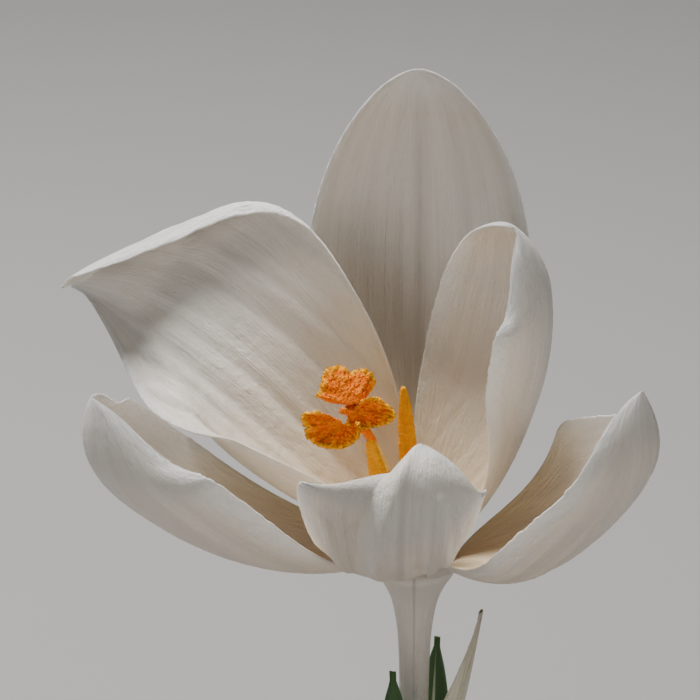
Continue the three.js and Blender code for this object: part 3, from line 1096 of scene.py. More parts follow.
@dataclass(frozen=True)
class Fold:
    """A fold pressed into a blade along a straight line.

    Attributes:
        start: Where it starts, as how far along and how far across.
        end: Where it ends, likewise.
        width: Its half width, in millimetres.
        depth: How far it stands toward the inner face, in millimetres, or for a bend, how far
            the blade turns toward that face, in degrees.
        form: Its form.
        power: How late the line of a bend comes in across the blade; 1 is straight.
    """

    start: tuple[float, float]
    end: tuple[float, float]
    width: float
    depth: float
    form: Form = Form.RIDGE
    power: float = 1.0

    def measure(self, flatten: Flatten, s: Array, t: Array) -> tuple[Array, Array, Array]:
        """Measure a point of a blade against the fold's line.

        Args:
            flatten: Gives the place of a point on the blade laid flat.
            s: How far along the point is.
            t: How far across.

        Returns:
            How far along the line it is, as a share, how far left of it, and how far from it.
        """
        start = flatten(*np.array(self.start))
        line = flatten(*np.array(self.end)) - start
        along, across = np.moveaxis(flatten(s, t) - start, -1, 0)
        part = (along * line[0] + across * line[1]) / line.dot(line)
        left = (along * line[1] - across * line[0]) / np.hypot(*line)
        past = (part - np.clip(part, 0, 1)) * np.hypot(*line)
        return part, left, np.hypot(left, past)

    def rise(self, flatten: Flatten, s: Array, t: Array) -> Array:
        """Work out how far a ridge or step lifts the blade.

        Args:
            flatten: Gives the place of a point on the blade laid flat.
            s: How far along the point is.
            t: How far across.

        Returns:
            The lift, in millimetres.
        """
        part, left, gap = self.measure(flatten, s, t)
        if self.form is Form.STEP:
            return self.depth * smooth(0.5 + left / (2 * self.width)) * smooth(part / 0.35)
        return self.depth * np.exp(-((gap / self.width) ** 2))

    def turn(self, s: Array, t: Array, half: Array) -> Array:
        """Work out how far a bend turns the blade's section.

        Args:
            s: How far along the point is.
            t: How far across.
            half: The blade's half width there.

        Returns:
            The angle, in radians.
        """
        (first_s, first_t), (last_s, last_t) = self.start, self.end
        share = np.clip((s - first_s) / (last_s - first_s), 0, 2)
        line = first_t + (last_t - first_t) * share**self.power
        toward_tip = 1 if last_s > first_s else -1
        left = toward_tip * (line - t) * half
        return -toward_tip * math.radians(self.depth) * smooth(0.5 + left / (2 * self.width))


@dataclass(frozen=True)
class Tepal:
    """One tepal, a sheet grown outward from the throat.

    Attributes:
        name: The node it stands for.
        azimuth: Where it grows to, in degrees.
        whorl: Which ring it is in.
        length: Along its midrib.
        half_width: Of its left and right side at their widest.
        lean: Angle from upright at the foot, middle and tip.
        cup: How far its margins turn in at the foot, middle and tip.
        widest: Where each side is widest, as a share of the length.
        blunt: How sharply each side tapers; less is rounder.
        hook: How much further its tip turns in.
        roll: How much further its left and right margins turn in.
        twist: How far it banks about its midrib.
        sway: How far its tip is carried to the right.
        pleats: Height of the pleats along it, and how far apart they are, in millimetres.
        folds: Folds pressed into it.
        ruffle: Height of the waves along its margins.
        seed: Which waves and veins it has.
    """

    name: str
    azimuth: float
    whorl: Whorl
    length: float
    half_width: tuple[float, float]
    lean: tuple[float, float, float]
    cup: tuple[float, float, float]
    widest: tuple[float, float] = (0.56, 0.56)
    blunt: tuple[float, float] = (0.5, 0.5)
    hook: float = 0.0
    roll: tuple[float, float] = (0.0, 0.0)
    twist: float = 0.0
    sway: float = 0.0
    pleats: tuple[float, float] = (0.2, 3.4)
    folds: tuple[Fold, ...] = ()
    ruffle: float = 0.2
    seed: float = 1.0

    FOOT_RADIUS = 2.4
    FOOT_HALF_WIDTH = 2.1
    FOOT_LEAN = 25.0
    FOOT_SHARE = 0.05
    HOOK_START = 0.72
    HOOK_SPAN = 0.28
    TIP_HALF_WIDTH = 0.5
    SUNK = 1.2
    MARGIN_THICKNESS = 0.14
    THICKENING = 0.3
    ROWS = 120
    COLUMNS = 81
    STEPS = 240
    SECTION_STEPS = 30

    def lean_at(self, s: Array) -> Array:
        """Return the midrib's angle from upright, in radians, along s."""
        curve = through(self.lean, s) - (self.lean[0] - self.FOOT_LEAN) * np.exp(-s / self.FOOT_SHARE)
        return np.radians(curve - self.hook * smooth(s, self.HOOK_START, self.HOOK_SPAN))

    def midrib(self, s: Array) -> tuple[Array, Array, Array]:
        """Follow the midrib; below 0 it goes on straight into the throat.

        Args:
            s: How far along, from 0 to 1.

        Returns:
            Its radius, its height over the throat and its angle from upright, in radians.
        """
        steps = np.linspace(0, 1, self.STEPS + 1)
        out, up = grown(self.length, self.lean_at((steps[1:] + steps[:-1]) / 2))
        foot = math.radians(self.FOOT_LEAN)
        radius = self.FOOT_RADIUS + self.whorl.value * math.cos(foot) + out
        height = up - self.whorl.value * math.sin(foot)
        below = np.minimum(s, 0) * self.length
        inside = np.clip(s, 0, 1)
        radius = np.interp(inside, steps, radius) + below * math.sin(foot)
        height = np.interp(inside, steps, height) + below * math.cos(foot)
        return radius, height, self.lean_at(inside)

    def half_widths(self, s: Array, t: Array) -> Array:
        """Work out how wide the blade is on the side that t is on.

        Args:
            s: How far along each point is, from 0 to 1.
            t: How far across each point is, from -1 to 1.

        Returns:
            The half widths, in millimetres.
        """
        foot = self.FOOT_HALF_WIDTH
        pairs = (self.half_width, self.widest, self.blunt)
        full, widest, blunt = (np.where(t < 0, *sides) for sides in pairs)
        rising = foot + (full - foot) * np.sin(math.pi / 2 * np.clip(s / widest, 0, 1)) ** 0.95
        beyond = np.clip((s - widest) / (1 - widest), 0, 1)
        closing = np.maximum(full * (1 - beyond**2) ** blunt, self.TIP_HALF_WIDTH)
        return np.where(s < widest, rising, closing)

    def flat(self, s: Array, t: Array) -> Array:
        """Return the place of a point of the blade laid flat, in millimetres, as (..., 2)."""
        return np.stack([s * self.length, t * self.half_widths(s, t)], axis=-1)

    def section(self, s: Array, t: Array, half: Array) -> tuple[Array, Array]:
        """Follow the section from the midrib outward.

        Args:
            s: How far along each point is, from 0 to 1.
            t: How far across each point is, from -1 to 1.
            half: The blade's half widths there.

        Returns:
            How far across and how far inward each point is.
        """
        eased = half / (half + 1.0)
        cup = np.radians(through(self.cup, np.clip(s, 0, 1)))
        roll = np.radians(np.where(t < 0, *self.roll)) * smooth(s, 0.15, 0.5)
        across = np.zeros_like(s)
        inward = np.zeros_like(s)
        for k in range(self.SECTION_STEPS):
            at = t * (k + 0.5) / self.SECTION_STEPS
            angle = eased * (cup * at + roll * np.sign(at) * np.abs(at) ** 5)
            for fold in self.folds:
                if fold.form is Form.BEND:
                    angle = angle + fold.turn(s, at, half)
            across += half * t / self.SECTION_STEPS * np.cos(angle)
            inward += half * t / self.SECTION_STEPS * np.sin(angle)
        return across, inward

    def surface(self, s: Array, t: Array) -> Array:
        """Work out the blade's middle surface.

        Args:
            s: How far along each point is, from 0 to 1.
            t: How far across each point is, from -1 to 1.

        Returns:
            The points, in the part's frame.
        """
        radius, height, lean = self.midrib(s)
        half = self.half_widths(s, t)
        across, inward = self.section(s, t, half)
        inside = np.clip(s, 0, 1)
        depth, spacing = self.pleats
        pleat = ripple(t * half / spacing + 0.3 * inside, self.seed) * (1 - t**4)
        inward = inward + depth * np.sin(math.pi * inside**0.8) ** 1.2 * pleat
        for fold in self.folds:
            if fold.form is not Form.BEND:
                inward = inward + fold.rise(self.flat, inside, t)
        margin = smooth(inside, 0.25, 0.4) * np.abs(t) ** 7
        wave = ripple(inside * self.length * 0.55 + 2.2 * np.sign(t), self.seed)
        wave = wave + 0.4 * ripple(inside * self.length * 1.2 + 1.3 * np.sign(t), self.seed + 2)
        inward = inward + self.ruffle * margin * wave
        bank = math.radians(self.twist) * smooth(inside / 0.5)
        sideways = across * np.cos(bank) - inward * np.sin(bank) + self.sway * inside**2
        lift = across * np.sin(bank) + inward * np.cos(bank)
        z = THROAT + height + np.sin(lean) * lift
        return polar(radius - np.cos(lean) * lift, self.azimuth, z, sideways)

    def mesh(self) -> MeshData:
        """Shape the tepal, with rows crowded to its tip and columns to its margins.

        Returns:
            The tepal's mesh.
        """
        u = np.linspace(0, 1, self.ROWS)
        sunk = self.SUNK / self.length
        rows = -sunk + (1 + sunk) * (1 - (1 - u) ** 1.5)
        across = np.linspace(-1, 1, self.COLUMNS)
        across = np.sign(across) * (1 - (1 - np.abs(across)) ** 1.2)
        s, t = np.meshgrid(rows, across, indexing="ij")
        grid = self.surface(s, t)
        body = (1 - np.abs(t) ** 4) * (1 - 0.6 * np.clip(s, 0, 1) ** 6)
        return blade_mesh(grid, self.MARGIN_THICKNESS + self.THICKENING * body, s, t)


TEPALS = (
    Tepal(
        "tepal_back", 178, Whorl.OUTER, 51.0, (13.0, 13.2), (70, 31, 3), (60, 22, 30),
        blunt=(0.5, 0.54), hook=5, roll=(70, 80), sway=0.5, seed=1.0,
    ),
    Tepal(
        "tepal_left_front", -69, Whorl.OUTER, 42.0, (13.0, 17.4), (93, 60, 28), (30, 62, 86),
        widest=(0.6, 0.56), blunt=(0.42, 0.5), hook=48, twist=-2, ruffle=0.1, seed=2.0,
    ),
    Tepal(
        "tepal_right_front", 50, Whorl.OUTER, 40.2, (14.5, 14.5), (93, 47, 26), (50, 72, 60),
        widest=(0.6, 0.34), blunt=(0.5, 1.0), hook=58, twist=22, ruffle=0.12, seed=3.0,
    ),
    Tepal(
        "tepal_front", -6, Whorl.INNER, 41.0, (10.2, 9.6), (76, 52, -44), (90, 60, 52),
        widest=(0.7, 0.76), blunt=(0.5, 0.3), hook=66, roll=(-10, 20), twist=9, sway=1.6, seed=4.0,
        folds=(
            Fold((0.4, -0.45), (1.0, -0.75), 1.0, 3.0, Form.STEP),
            Fold((0.28, -0.7), (0.62, -0.72), 0.7, -0.5),
            Fold((0.35, 0.72), (0.8, 0.38), 0.7, -0.5),
            Fold((0.5, 0.2), (0.95, 0.05), 1.1, 0.4),
        ),
    ),
    Tepal(
        "tepal_right_back", 122, Whorl.INNER, 38.2, (12.8, 15.0), (60, 21, -24), (60, 85, 80),
        widest=(0.62, 0.55), blunt=(0.36, 0.36), hook=25, roll=(30, 0), twist=-20, ruffle=0.1, seed=5.0,
    ),
    Tepal(
        "tepal_left_back", -122, Whorl.INNER, 46.0, (19.6, 13.0), (52, 66, 82), (60, 62, 10),
        widest=(0.7, 0.25), blunt=(0.82, 1.5), twist=-32, sway=-2.5, pleats=(0.55, 3.8), seed=6.0,
        folds=(
            Fold((0.9, 0.4), (0.3, 0.6), 2.0, 33, Form.BEND),
            Fold((0.99, -0.4), (0.6, 0.5), 1.0, -45, Form.BEND),
            Fold((0.45, -1.0), (0.97, -0.25), 1.0, 135, Form.BEND, 2.6),
        ),
    ),
)


@dataclass
class Perianth:
    """The six tepals."""

    tepals: tuple[Tepal, ...] = TEPALS
    finish: PetalFinish = field(default_factory=PetalFinish)

    def build(self) -> None:
        """Make each tepal."""
        for tepal in self.tepals:
            material = self.finish.material(f"petal_{tepal.name}", tepal.seed)
            new_piece(f"{tepal.name}_blade", tepal.mesh(), material, [tepal.name])


@dataclass
class FlowerTube:
    """The perianth tube, flaring into the throat that holds the tepals' feet.

    Attributes:
        radius: Of the tube.
        profile: Radius and height over the throat, from the flare's foot over its lip and down
            into the throat.
        segments: Points in a ring.
        finish: Its finish.
    """

    radius: float = 1.5
    profile: tuple[tuple[float, float], ...] = (
        (1.5, -16), (1.6, -11), (1.85, -7.5), (2.4, -4.6), (3.2, -2.7), (4.0, -1.4), (4.1, -0.9),
        (3.7, -0.5), (3.0, -0.35), (2.6, 0.0), (2.2, 0.0), (1.95, -0.6), (1.75, -2.0), (1.5, -4.5),
        (1.15, -8.0), (0.6, -10.5), (0.05, -11.5),
    )
    segments: int = 72
    finish: PetalFinish = field(default_factory=PetalFinish)

    FLARE_POINTS = 90
    STEM_POINTS = 40
    LIP_POINT = 55

    def mesh(self) -> MeshData:
        """Shape the tube, and mark the inside of its flare.

        Returns:
            The tube's mesh.
        """
        flare = curve_through([(radius, 0.0, z) for radius, z in self.profile], self.FLARE_POINTS)
        heights = np.linspace(SHOOT_FOOT - THROAT, self.profile[0][1], self.STEM_POINTS)[:-1]
        stem = np.stack([np.full_like(heights, self.radius), heights], axis=-1)
        profile = np.vstack([[0.05, heights[0]], stem, flare[:, [0, 2]]])
        azimuths = all_round(self.segments)
        rings = turned(profile, azimuths)
        ribs = 1 + 0.012 * np.cos(np.radians(6 * azimuths))
        rings[..., :2] *= ribs[:, None]
        rings[..., 2] += THROAT
        mesh = turned_mesh(rings, closed=False)
        inner = np.repeat(np.arange(len(profile)) > len(heights) + self.LIP_POINT, self.segments)
        mesh.blade[:, 0] = np.repeat(smooth(-profile[:, 1], 4, 20) * 0.6, self.segments)
        mesh.blade[:, 2] = np.where(inner, 1.0, -1.0)
        return mesh

    def build(self) -> None:
        """Make the tube."""
        material = self.finish.material("petal_tube", 9.0)
        new_piece("tube_and_throat", self.mesh(), material, ["flower_tube"])


# ---- stamens and stigma ----


@dataclass(frozen=True)
class Stamen:
    """A filament with its anther.

    Attributes:
        number: Which of the three.
        azimuth: Where the filament leaves the throat.
        anther: Points along the anther, from its foot, over the throat.
        turn: How far the anther is turned about its length, in degrees.
    """

    number: int
    azimuth: float
    anther: tuple[Point, Point, Point]
    turn: float

    ROOT_RADIUS = 1.25
    ROOT = -4.7
    RADIUS = 0.95
    ROWS = 150
    SIDES = 72

    def filament_mesh(self) -> MeshData:
        """Shape the filament, from the tube to the anther's foot.

        Returns:
            The filament's mesh.
        """
        root = polar(self.ROOT_RADIUS, self.azimuth, THROAT + self.ROOT)
        throat = polar(self.ROOT_RADIUS + 0.1, self.azimuth, THROAT)
        foot = np.array(self.anther[0]) + [0, 0, THROAT]
        path = curve_through([tuple(root), tuple(throat), tuple(foot)], 60)
        return rod_mesh(path, lambda u, angle: 0.4 - 0.14 * smooth(u) + 0.015 * np.cos(3 * angle), 20)

    def anther_mesh(self) -> MeshData:
        """Shape the anther: two lobes, each split open and dusted with pollen.

        Returns:
            The anther's mesh.
        """
        points = [tuple(np.array(point) + [0, 0, THROAT]) for point in self.anther]
        path = curve_through(points, self.ROWS)

        def radius(u: Array, angle: Array) -> Array:
            """Work out the section: a deep groove between the lobes and a slit in each.

            Args:
                u: How far along, from 0 to 1.
                angle: The angle round it, in radians.

            Returns:
                The radius there.
            """
            angle = angle + math.radians(self.turn) * (0.4 + 0.6 * u)
            ends = np.clip(4 * u * (1 - u), 0.0025, 1) ** 0.3
            lobes = 0.66 + 0.34 * np.abs(np.cos(angle)) ** 0.75
            slit = 0.10 * np.exp(-((np.sin(angle) / 0.14) ** 2))
            taper = 1.02 - 0.2 * smooth(u, 0.4, 0.6)
            return self.RADIUS * ends * taper * (lobes - slit)

        mesh = rod_mesh(path, radius, self.SIDES)
        outward = mesh.points - np.repeat(path, self.SIDES, axis=0)
        grain = lumps(mesh.points, 0.42, 3.0 + self.number, 3)
        grain = grain + 0.5 * lumps(mesh.points, 1.6, 8.0 + self.number, 2)
        mesh.points += outward * (0.05 * grain)[:, None]
        return mesh


@dataclass
class Stamens:
    """The three stamens."""

    stamens: tuple[Stamen, ...] = (
        Stamen(1, 178, ((-0.6, 3.2, 6), (-0.8, 3.7, 11), (-1.2, 4.2, 16.7)), 80),
        Stamen(2, -69, ((-2.7, -1.7, 4.5), (-3.6, -2.1, 9.5), (-4.6, -2.4, 14.0)), 20),
        Stamen(3, 50, ((1.9, -1.6, 2.6), (2.5, -2.2, 6.5), (3.0, -2.8, 11.0)), 140),
    )

    def build(self) -> None:
        """Make each filament and anther."""
        cream = FilamentFinish().material("filament")
        pollen = PollenFinish().material("pollen")
        for stamen in self.stamens:
            rod, lobes = stamen.filament_mesh(), stamen.anther_mesh()
            number = stamen.number
            new_piece(f"filament_rod_{number}", rod, cream, [f"filament_{number}"])
            new_piece(f"anther_lobes_{number}", lobes, pollen, [f"anther_{number}"])


@dataclass(frozen=True)
class Fan:
    """One branch of the stigma, a frilled fan.

    Attributes:
        rim: Angle in degrees and reach of points round its rim, as seen by the camera, where 0 is
            right and 90 is up.
        root: Where it grows from, to the right of the style's end and up from it.
        hollow: How far its middle goes back from the camera.
        tilt: How far its rim goes back from the camera.
        frills: How many folds it has.
        seed: Which folds.
    """

    rim: tuple[tuple[float, float], ...]
    root: tuple[float, float]
    hollow: float
    tilt: float
    frills: float
    seed: float


@dataclass
class Stigma:
    """The style with its three-branched stigma.

    Attributes:
        path: Points along the style, over the throat.
        knob: Points along a stub that stands out between two branches.
        fans: The branches.
        elevation: How far above the horizon they face, in degrees.
    """

    path: tuple[Point, ...] = (
        (0, 0, -10.5), (-0.3, 0.1, -4.7), (-1.6, 0.7, 5), (-3.8, 0.5, 11.5), (-6.1, -2.5, 16.8),
        (-6.3, -2.9, 17.5),
    )
    knob: tuple[Point, ...] = ((-6.3, -3.0, 17.0), (-6.9, -3.6, 17.5), (-7.4, -3.9, 18.0))
    fans: tuple[Fan, ...] = (
        Fan(
            ((40, 1.3), (46, 2.4), (51, 3.1), (60, 3.5), (70, 3.75), (84, 3.5), (97, 3.1), (103, 3.6),
             (114, 4.2), (124, 4.5), (134, 4.4), (144, 4.1), (156, 3.7), (166, 3.8), (171, 2.4)),
            (0.3, 0.4), 1.3, 1.4, 4.5, 1.0,
        ),
        Fan(
            ((-110, 1.5), (-80, 1.9), (-58, 2.2), (-43, 2.5), (-33, 2.9), (-20, 3.9), (-9, 4.3),
             (0, 3.9), (8, 3.3), (20, 2.9), (30, 2.5), (40, 1.2)),
            (0.0, 0.0), 1.2, -0.4, 5.0, 2.0,
        ),
        Fan(
            ((160, 2.6), (166, 4.2), (178, 4.2), (184, 4.0), (188, 3.4), (192, 3.9), (202, 4.0),
             (220, 3.5), (250, 2.8), (286, 2.3), (322, 2.0), (355, 1.4)),
            (-0.8, -1.2), 1.0, -1.0, 5.5, 3.0,
        ),
    )
    elevation: float = 24.0

    ROWS = 70
    COLUMNS = 220
    SIDES = 24

    def fan_mesh(self, fan: Fan) -> MeshData:
        """Shape one branch of the stigma.

        Args:
            fan: The branch.

        Returns:
            Its mesh.
        """
        angles, reaches = np.array(fan.rim, float).T
        rows, columns = np.linspace(0, 1, self.ROWS), np.linspace(0, 1, self.COLUMNS)
        u, v = np.meshgrid(rows, columns, indexing="ij")
        angle = np.radians(angles[0] + (angles[-1] - angles[0]) * v)
        reach = np.interp(angle, np.radians(angles), reaches)
        reach = reach + 0.15 * ripple(v * 34, fan.seed) + 0.10 * ripple(v * 110, fan.seed + 0.5)
        frill = ripple(v * fan.frills, fan.seed) + 0.35 * ripple(v * fan.frills * 3.1, fan.seed + 4)
        out = (0.25 + (reach - 0.25) * u) * (1 - 0.05 * u * np.abs(frill))
        depth = fan.hollow * np.sin(math.pi * v) * u + fan.tilt * u**1.6 + 0.5 * frill * u**1.8
        depth = depth + 0.22 * u**4 * ripple(v * 26 + 3 * u, fan.seed + 7)
        tip = math.radians(self.elevation)
        up = np.array([0, math.sin(tip), math.cos(tip)])
        away = np.array([0, math.cos(tip), -math.sin(tip)])
        right, above = fan.root
        centre = np.array(self.path[-1]) + [right, 0, THROAT] + above * up
        bend = angle + 0.06 * u * frill
        grid = centre + (out * np.cos(bend))[..., None] * np.array([1.0, 0, 0])
        grid = grid + (out * np.sin(bend))[..., None] * up + depth[..., None] * away
        grid = grid + (0.09 * lumps(grid, 0.9, fan.seed + 5, 2) * smooth(u / 0.4))[..., None] * away
        grain = lumps(grid, 0.3, fan.seed + 2, 2) * smooth(u / 0.3)
        thickness = 0.26 - 0.08 * u + 0.07 * grain + 0.12 * smooth(u, 0.88, 0.08)
        return blade_mesh(grid, thickness, 0.15 + 0.85 * u, 2 * v - 1)

    def style_mesh(self) -> MeshData:
        """Shape the style and the knob.

        Returns:
            Their mesh.
        """
        path = curve_through([(x, y, z + THROAT) for x, y, z in self.path], 90)
        style = rod_mesh(path, lambda u, _: 0.36 + 0.1 * u + 0.3 * smooth(u, 0.93, 0.07), self.SIDES)
        style.blade[:, 0] = 0.12 * smooth(style.blade[:, 0], 0.75, 0.25)
        stub = curve_through([(x, y, z + THROAT) for x, y, z in self.knob], 30)
        knob = rod_mesh(
            stub, lambda u, _: (0.17 + 0.28 * smooth(u, 0.5, 0.4)) * np.sqrt(1.02 - u**8), self.SIDES
        )
        knob.blade[:, 0] = 0.3
        knob.points += 0.05 * lumps(knob.points, 0.4, 5.0, 2)[:, None]
        return merged([style, knob])

    def build(self) -> None:
        """Make the style and stigma as one piece."""
        mesh = merged([self.style_mesh()] + [self.fan_mesh(fan) for fan in self.fans])
        new_piece("style_and_stigma", mesh, StigmaFinish().material("stigma"), ["stigma"])


# ---- leaves, bract and sheath ----


@dataclass(frozen=True)
class Leaf:
    """A narrow leaf, channelled above and keeled below, that stands in the sheath and leans out.

    Attributes:
        number: Which leaf.
        azimuth: Where it grows to.
        length: From the corm to its tip.
        lean: Angle from upright at the mouth of the sheath, its middle and its tip.
        half_width: At its widest.
    """

    number: int
    azimuth: float
    length: float
    lean: tuple[float, float, float]
    half_width: float

    ROOT_RADIUS = 3.85
    ROOT_HALF_WIDTH = 1.5
    STRAIGHT = 36.0
    CUP = 24.0
    STEPS = 240
    ROWS = 220
    COLUMNS = 33

    def free_part(self, u: Array) -> Array:
        """Return how far along the part that leans out each u is."""
        return np.maximum(u * self.length - self.STRAIGHT, 0) / (self.length - self.STRAIGHT)

    def angle_at(self, u: Array) -> Array:
        """Return the angle from upright along u, in radians."""
        free = self.free_part(u)
        return np.radians(through(self.lean, free) * smooth(free / 0.3))

    def mesh(self) -> MeshData:
        """Shape the leaf.

        Returns:
            The leaf's mesh.
        """
        steps = np.linspace(0, 1, self.STEPS + 1)
        gone_out, gone_up = grown(self.length, self.angle_at((steps[1:] + steps[:-1]) / 2))
        rows = 1 - (1 - np.linspace(0, 1, self.ROWS)) ** 1.3
        u, t = np.meshgrid(rows, np.linspace(-1, 1, self.COLUMNS), indexing="ij")
        free = self.free_part(u)
        blade = self.ROOT_HALF_WIDTH + (self.half_width - self.ROOT_HALF_WIDTH) * smooth(free / 0.35)
        half = blade * np.sqrt(np.maximum(1 - smooth(free, 0.35, 0.65) ** 2, 0.02))
        cup = math.radians(self.CUP)
        angle = self.angle_at(u)
        keel = np.exp(-((t / 0.2) ** 2)) * smooth(half / self.half_width)
        rise = half * (1 - np.cos(cup * t)) / cup - 0.2 * keel - 0.14 * smooth(np.abs(t), 0.72, 0.28)
        wave = ripple(u * self.length / 9 + 1.5 * np.sign(t), self.number)
        rise = rise + 0.1 * smooth(free / 0.3) * wave * t**2
        across = half * np.sin(cup * t) / cup
        out = np.interp(u, steps, self.ROOT_RADIUS + gone_out) - rise * np.cos(angle)
        z = np.interp(u, steps, SHOOT_FOOT + gone_up) + rise * np.sin(angle)
        grid = polar(out, self.azimuth, z, across)
        thickness = 0.34 + 0.1 * (1 - t**6) + 0.4 * keel
        return blade_mesh(grid, thickness * np.clip(half / 0.8, 0.4, 1), u, t)


LEAVES = (
    Leaf(1, -22, 65, (2, 5, 6), 2.3),
    Leaf(2, 38, 71, (20, 75, 112), 2.9),
    Leaf(3, 97, 70, (18, 66, 104), 2.8),
    Leaf(4, 156, 63, (2, 6, 5), 2.2),
    Leaf(5, -148, 62, (30, 88, 116), 2.7),
    Leaf(6, -84, 71, (20, 64, 100), 3.0),
)


@dataclass
class Sheath:
    """The papery sheath round the foot of the shoot, torn at its mouth.

    Attributes:
        radius: Of its outside.
        mouth: Height of its mouth.
        slant: How much higher its mouth is on one side.
        high_side: The azimuth of that side.
        wall: Its thickness.
    """

    radius: float = 5.3
    mouth: float = 79.0
    slant: float = 3.0
    high_side: float = -22.0
    wall: float = 0.28

    ROWS = 90
    SEGMENTS = 180

    def mesh(self) -> MeshData:
        """Shape the sheath, with a ragged mouth.

        Returns:
            The sheath's mesh.
        """
        a = np.radians(all_round(self.SEGMENTS))
        u = np.linspace(0, 1, self.ROWS)[:, None]
        tears = 0.5 * (1 + ripple(3 * np.cos(a) + 2 * np.sin(2 * a) + 4, 2.0))
        ragged = tears + 0.4 * (1 + ripple(9 * np.sin(a), 5.0))
        mouth = self.mouth + self.slant * np.cos(a - math.radians(self.high_side)) - ragged
        z = SHOOT_FOOT + (mouth - SHOOT_FOOT) * u
        free = smooth((z - mouth + 14) / 14)
        folds = 0.05 * np.cos(24 * a) + 0.05 * ripple(6 * np.cos(a) + z / 30, 3.0)
        outer = self.radius - 0.12 + folds * (0.3 + 0.7 * free) + free**2 * 0.22 * np.cos(3 * a)
        outer = outer - 0.1 * np.sin(math.pi * free)
        reach = np.concatenate([outer, (outer - self.wall)[::-1]])
        heights = np.concatenate([z, z[::-1]])
        rings = np.stack([reach * np.sin(a), -reach * np.cos(a), heights], axis=-1)
        mesh = turned_mesh(rings, closed=True)
        along = np.concatenate([u, u[::-1]]) * np.ones_like(a)
        mesh.blade[:, 0] = along.ravel()
        mesh.blade[:, 1] = np.broadcast_to(3 * np.sin(a), along.shape).ravel()
        return mesh


@dataclass
class Bract:
    """The thin bract that wraps the tube and opens into a pointed blade.

    Attributes:
        radius: Where it wraps the tube.
        azimuth: The side it is on.
        tip: Height of its tip.
        opening: Height at which it leaves the tube.
        lean: How far it leans off the tube, in degrees.
        half_width: Of its blade, round the tube.
    """

    radius: float = 2.3
    azimuth: float = 78.0
    tip: float = 116.5
    opening: float = 88.0
    lean: float = 9.0
    half_width: float = 6.2

    ROWS = 160
    COLUMNS = 61

    def mesh(self) -> MeshData:
        """Shape the bract.

        Returns:
            The bract's mesh.
        """
        rows, columns = np.linspace(0, 1, self.ROWS), np.linspace(-1, 1, self.COLUMNS)
        u, t = np.meshgrid(rows, columns, indexing="ij")
        z = SHOOT_FOOT + (self.tip - SHOOT_FOOT) * u
        open_part = np.maximum(z - self.opening, 0)
        taper = np.maximum(1 - open_part / (self.tip - self.opening), 0.02) ** 0.7
        wrap = t * self.half_width * taper / self.radius
        stand = open_part * math.tan(math.radians(self.lean)) * smooth(open_part / 20)
        crinkle = 0.12 * smooth(open_part / 8) * ripple(5 * t + z / 11, 4.0)
        crinkle = crinkle + 0.1 * smooth(open_part / 5) * t**4 * ripple(z / 2.2 + np.sign(t), 6.0)
        reach = self.radius + crinkle
        grid = polar(stand + reach * np.cos(wrap), self.azimuth, z, reach * np.sin(wrap))
        return blade_mesh(grid, 0.14 + 0.16 * (1 - t**4), u, t)


@dataclass
class Shoot:
    """What stands round the flower tube: the leaves, the bract and the sheath."""

    leaves: tuple[Leaf, ...] = LEAVES

    def build(self) -> None:
        """Make each piece."""
        green = LeafFinish().material("leaf")
        for leaf in self.leaves:
            new_piece(f"leaf_blade_{leaf.number}", leaf.mesh(), green, [f"leaf_{leaf.number}"])
        pale = PaperFinish()
        new_piece("bract_blade", Bract().mesh(), pale.material("bract_paper"), ["bract"])
        brown = PaperFinish(pale=(0.66, 0.60, 0.46), vein=(0.45, 0.33, 0.19), tip=(0.42, 0.27, 0.13))
        new_piece("sheath_skin", Sheath().mesh(), brown.material("sheath_paper"), ["sheath"])


# ---- pot, soil and corm ----


@dataclass
class Pot:
    """The clay flowerpot, thrown with faint rings.

    Attributes:
        height: Of the pot.
        foot_radius: Of its foot.
        rim_radius: Of its rim.
        band: Height of the band round the top.
        step: How far the band stands out.
        wall: Thickness of the wall.
        floor: Thickness of the floor.
        drain_radius: Of the hole in the floor.
    """

    height: float = 70.0
    foot_radius: float = 28.0
    rim_radius: float = 42.0
    band: float = 16.0
    step: float = 2.6
    wall: float = 3.6
    floor: float = 6.0
    drain_radius: float = 5.0

    SEGMENTS = 180

    def outer_radius(self, z: float) -> float:
        """Return the radius of the wall's outside at a height."""
        top = self.rim_radius - self.step - 2
        return self.foot_radius + (top - self.foot_radius) * z / (self.height - self.band)

    def inner_radius(self, z: float) -> float:
        """Return the radius of the wall's inside at a height."""
        return self.outer_radius(z) - self.wall

    def mesh(self) -> MeshData:
        """Turn the pot, with faint rings and dents.

        Returns:
            The pot's mesh.
        """
        foot = self.height - self.band
        outline = rounded(
            (
                (self.drain_radius, 0, 0.8),
                (self.foot_radius, 0, 1.0),
                (self.outer_radius(foot) - 0.1, foot - 0.6, 0.9),
                (self.rim_radius - 1.3, foot + 0.1, 0.9),
                (self.rim_radius, self.height, 1.7),
                (self.inner_radius(self.height), self.height, 1.4),
                (self.inner_radius(self.floor), self.floor, 3.0),
                (self.drain_radius, self.floor, 0.8),
            ),
            0.55,
        )
        rings = turned(outline, all_round(self.SEGMENTS))
        z = rings[..., 2]
        thrown = ripple(z / 2.3, 2.0) + 0.5 * ripple(z / 0.9, 5.0)
        dents = lumps(rings, 26.0, 6.0, 3)
        inset = (0.045 * (1.5 + thrown) + 0.05 * (1 + dents)) * smooth(outline[:, 0, None], 8, 8)
        reach = np.hypot(rings[..., 0], rings[..., 1])
        rings[..., :2] *= (1 - inset / reach)[..., None]
        return turned_mesh(rings, closed=True)


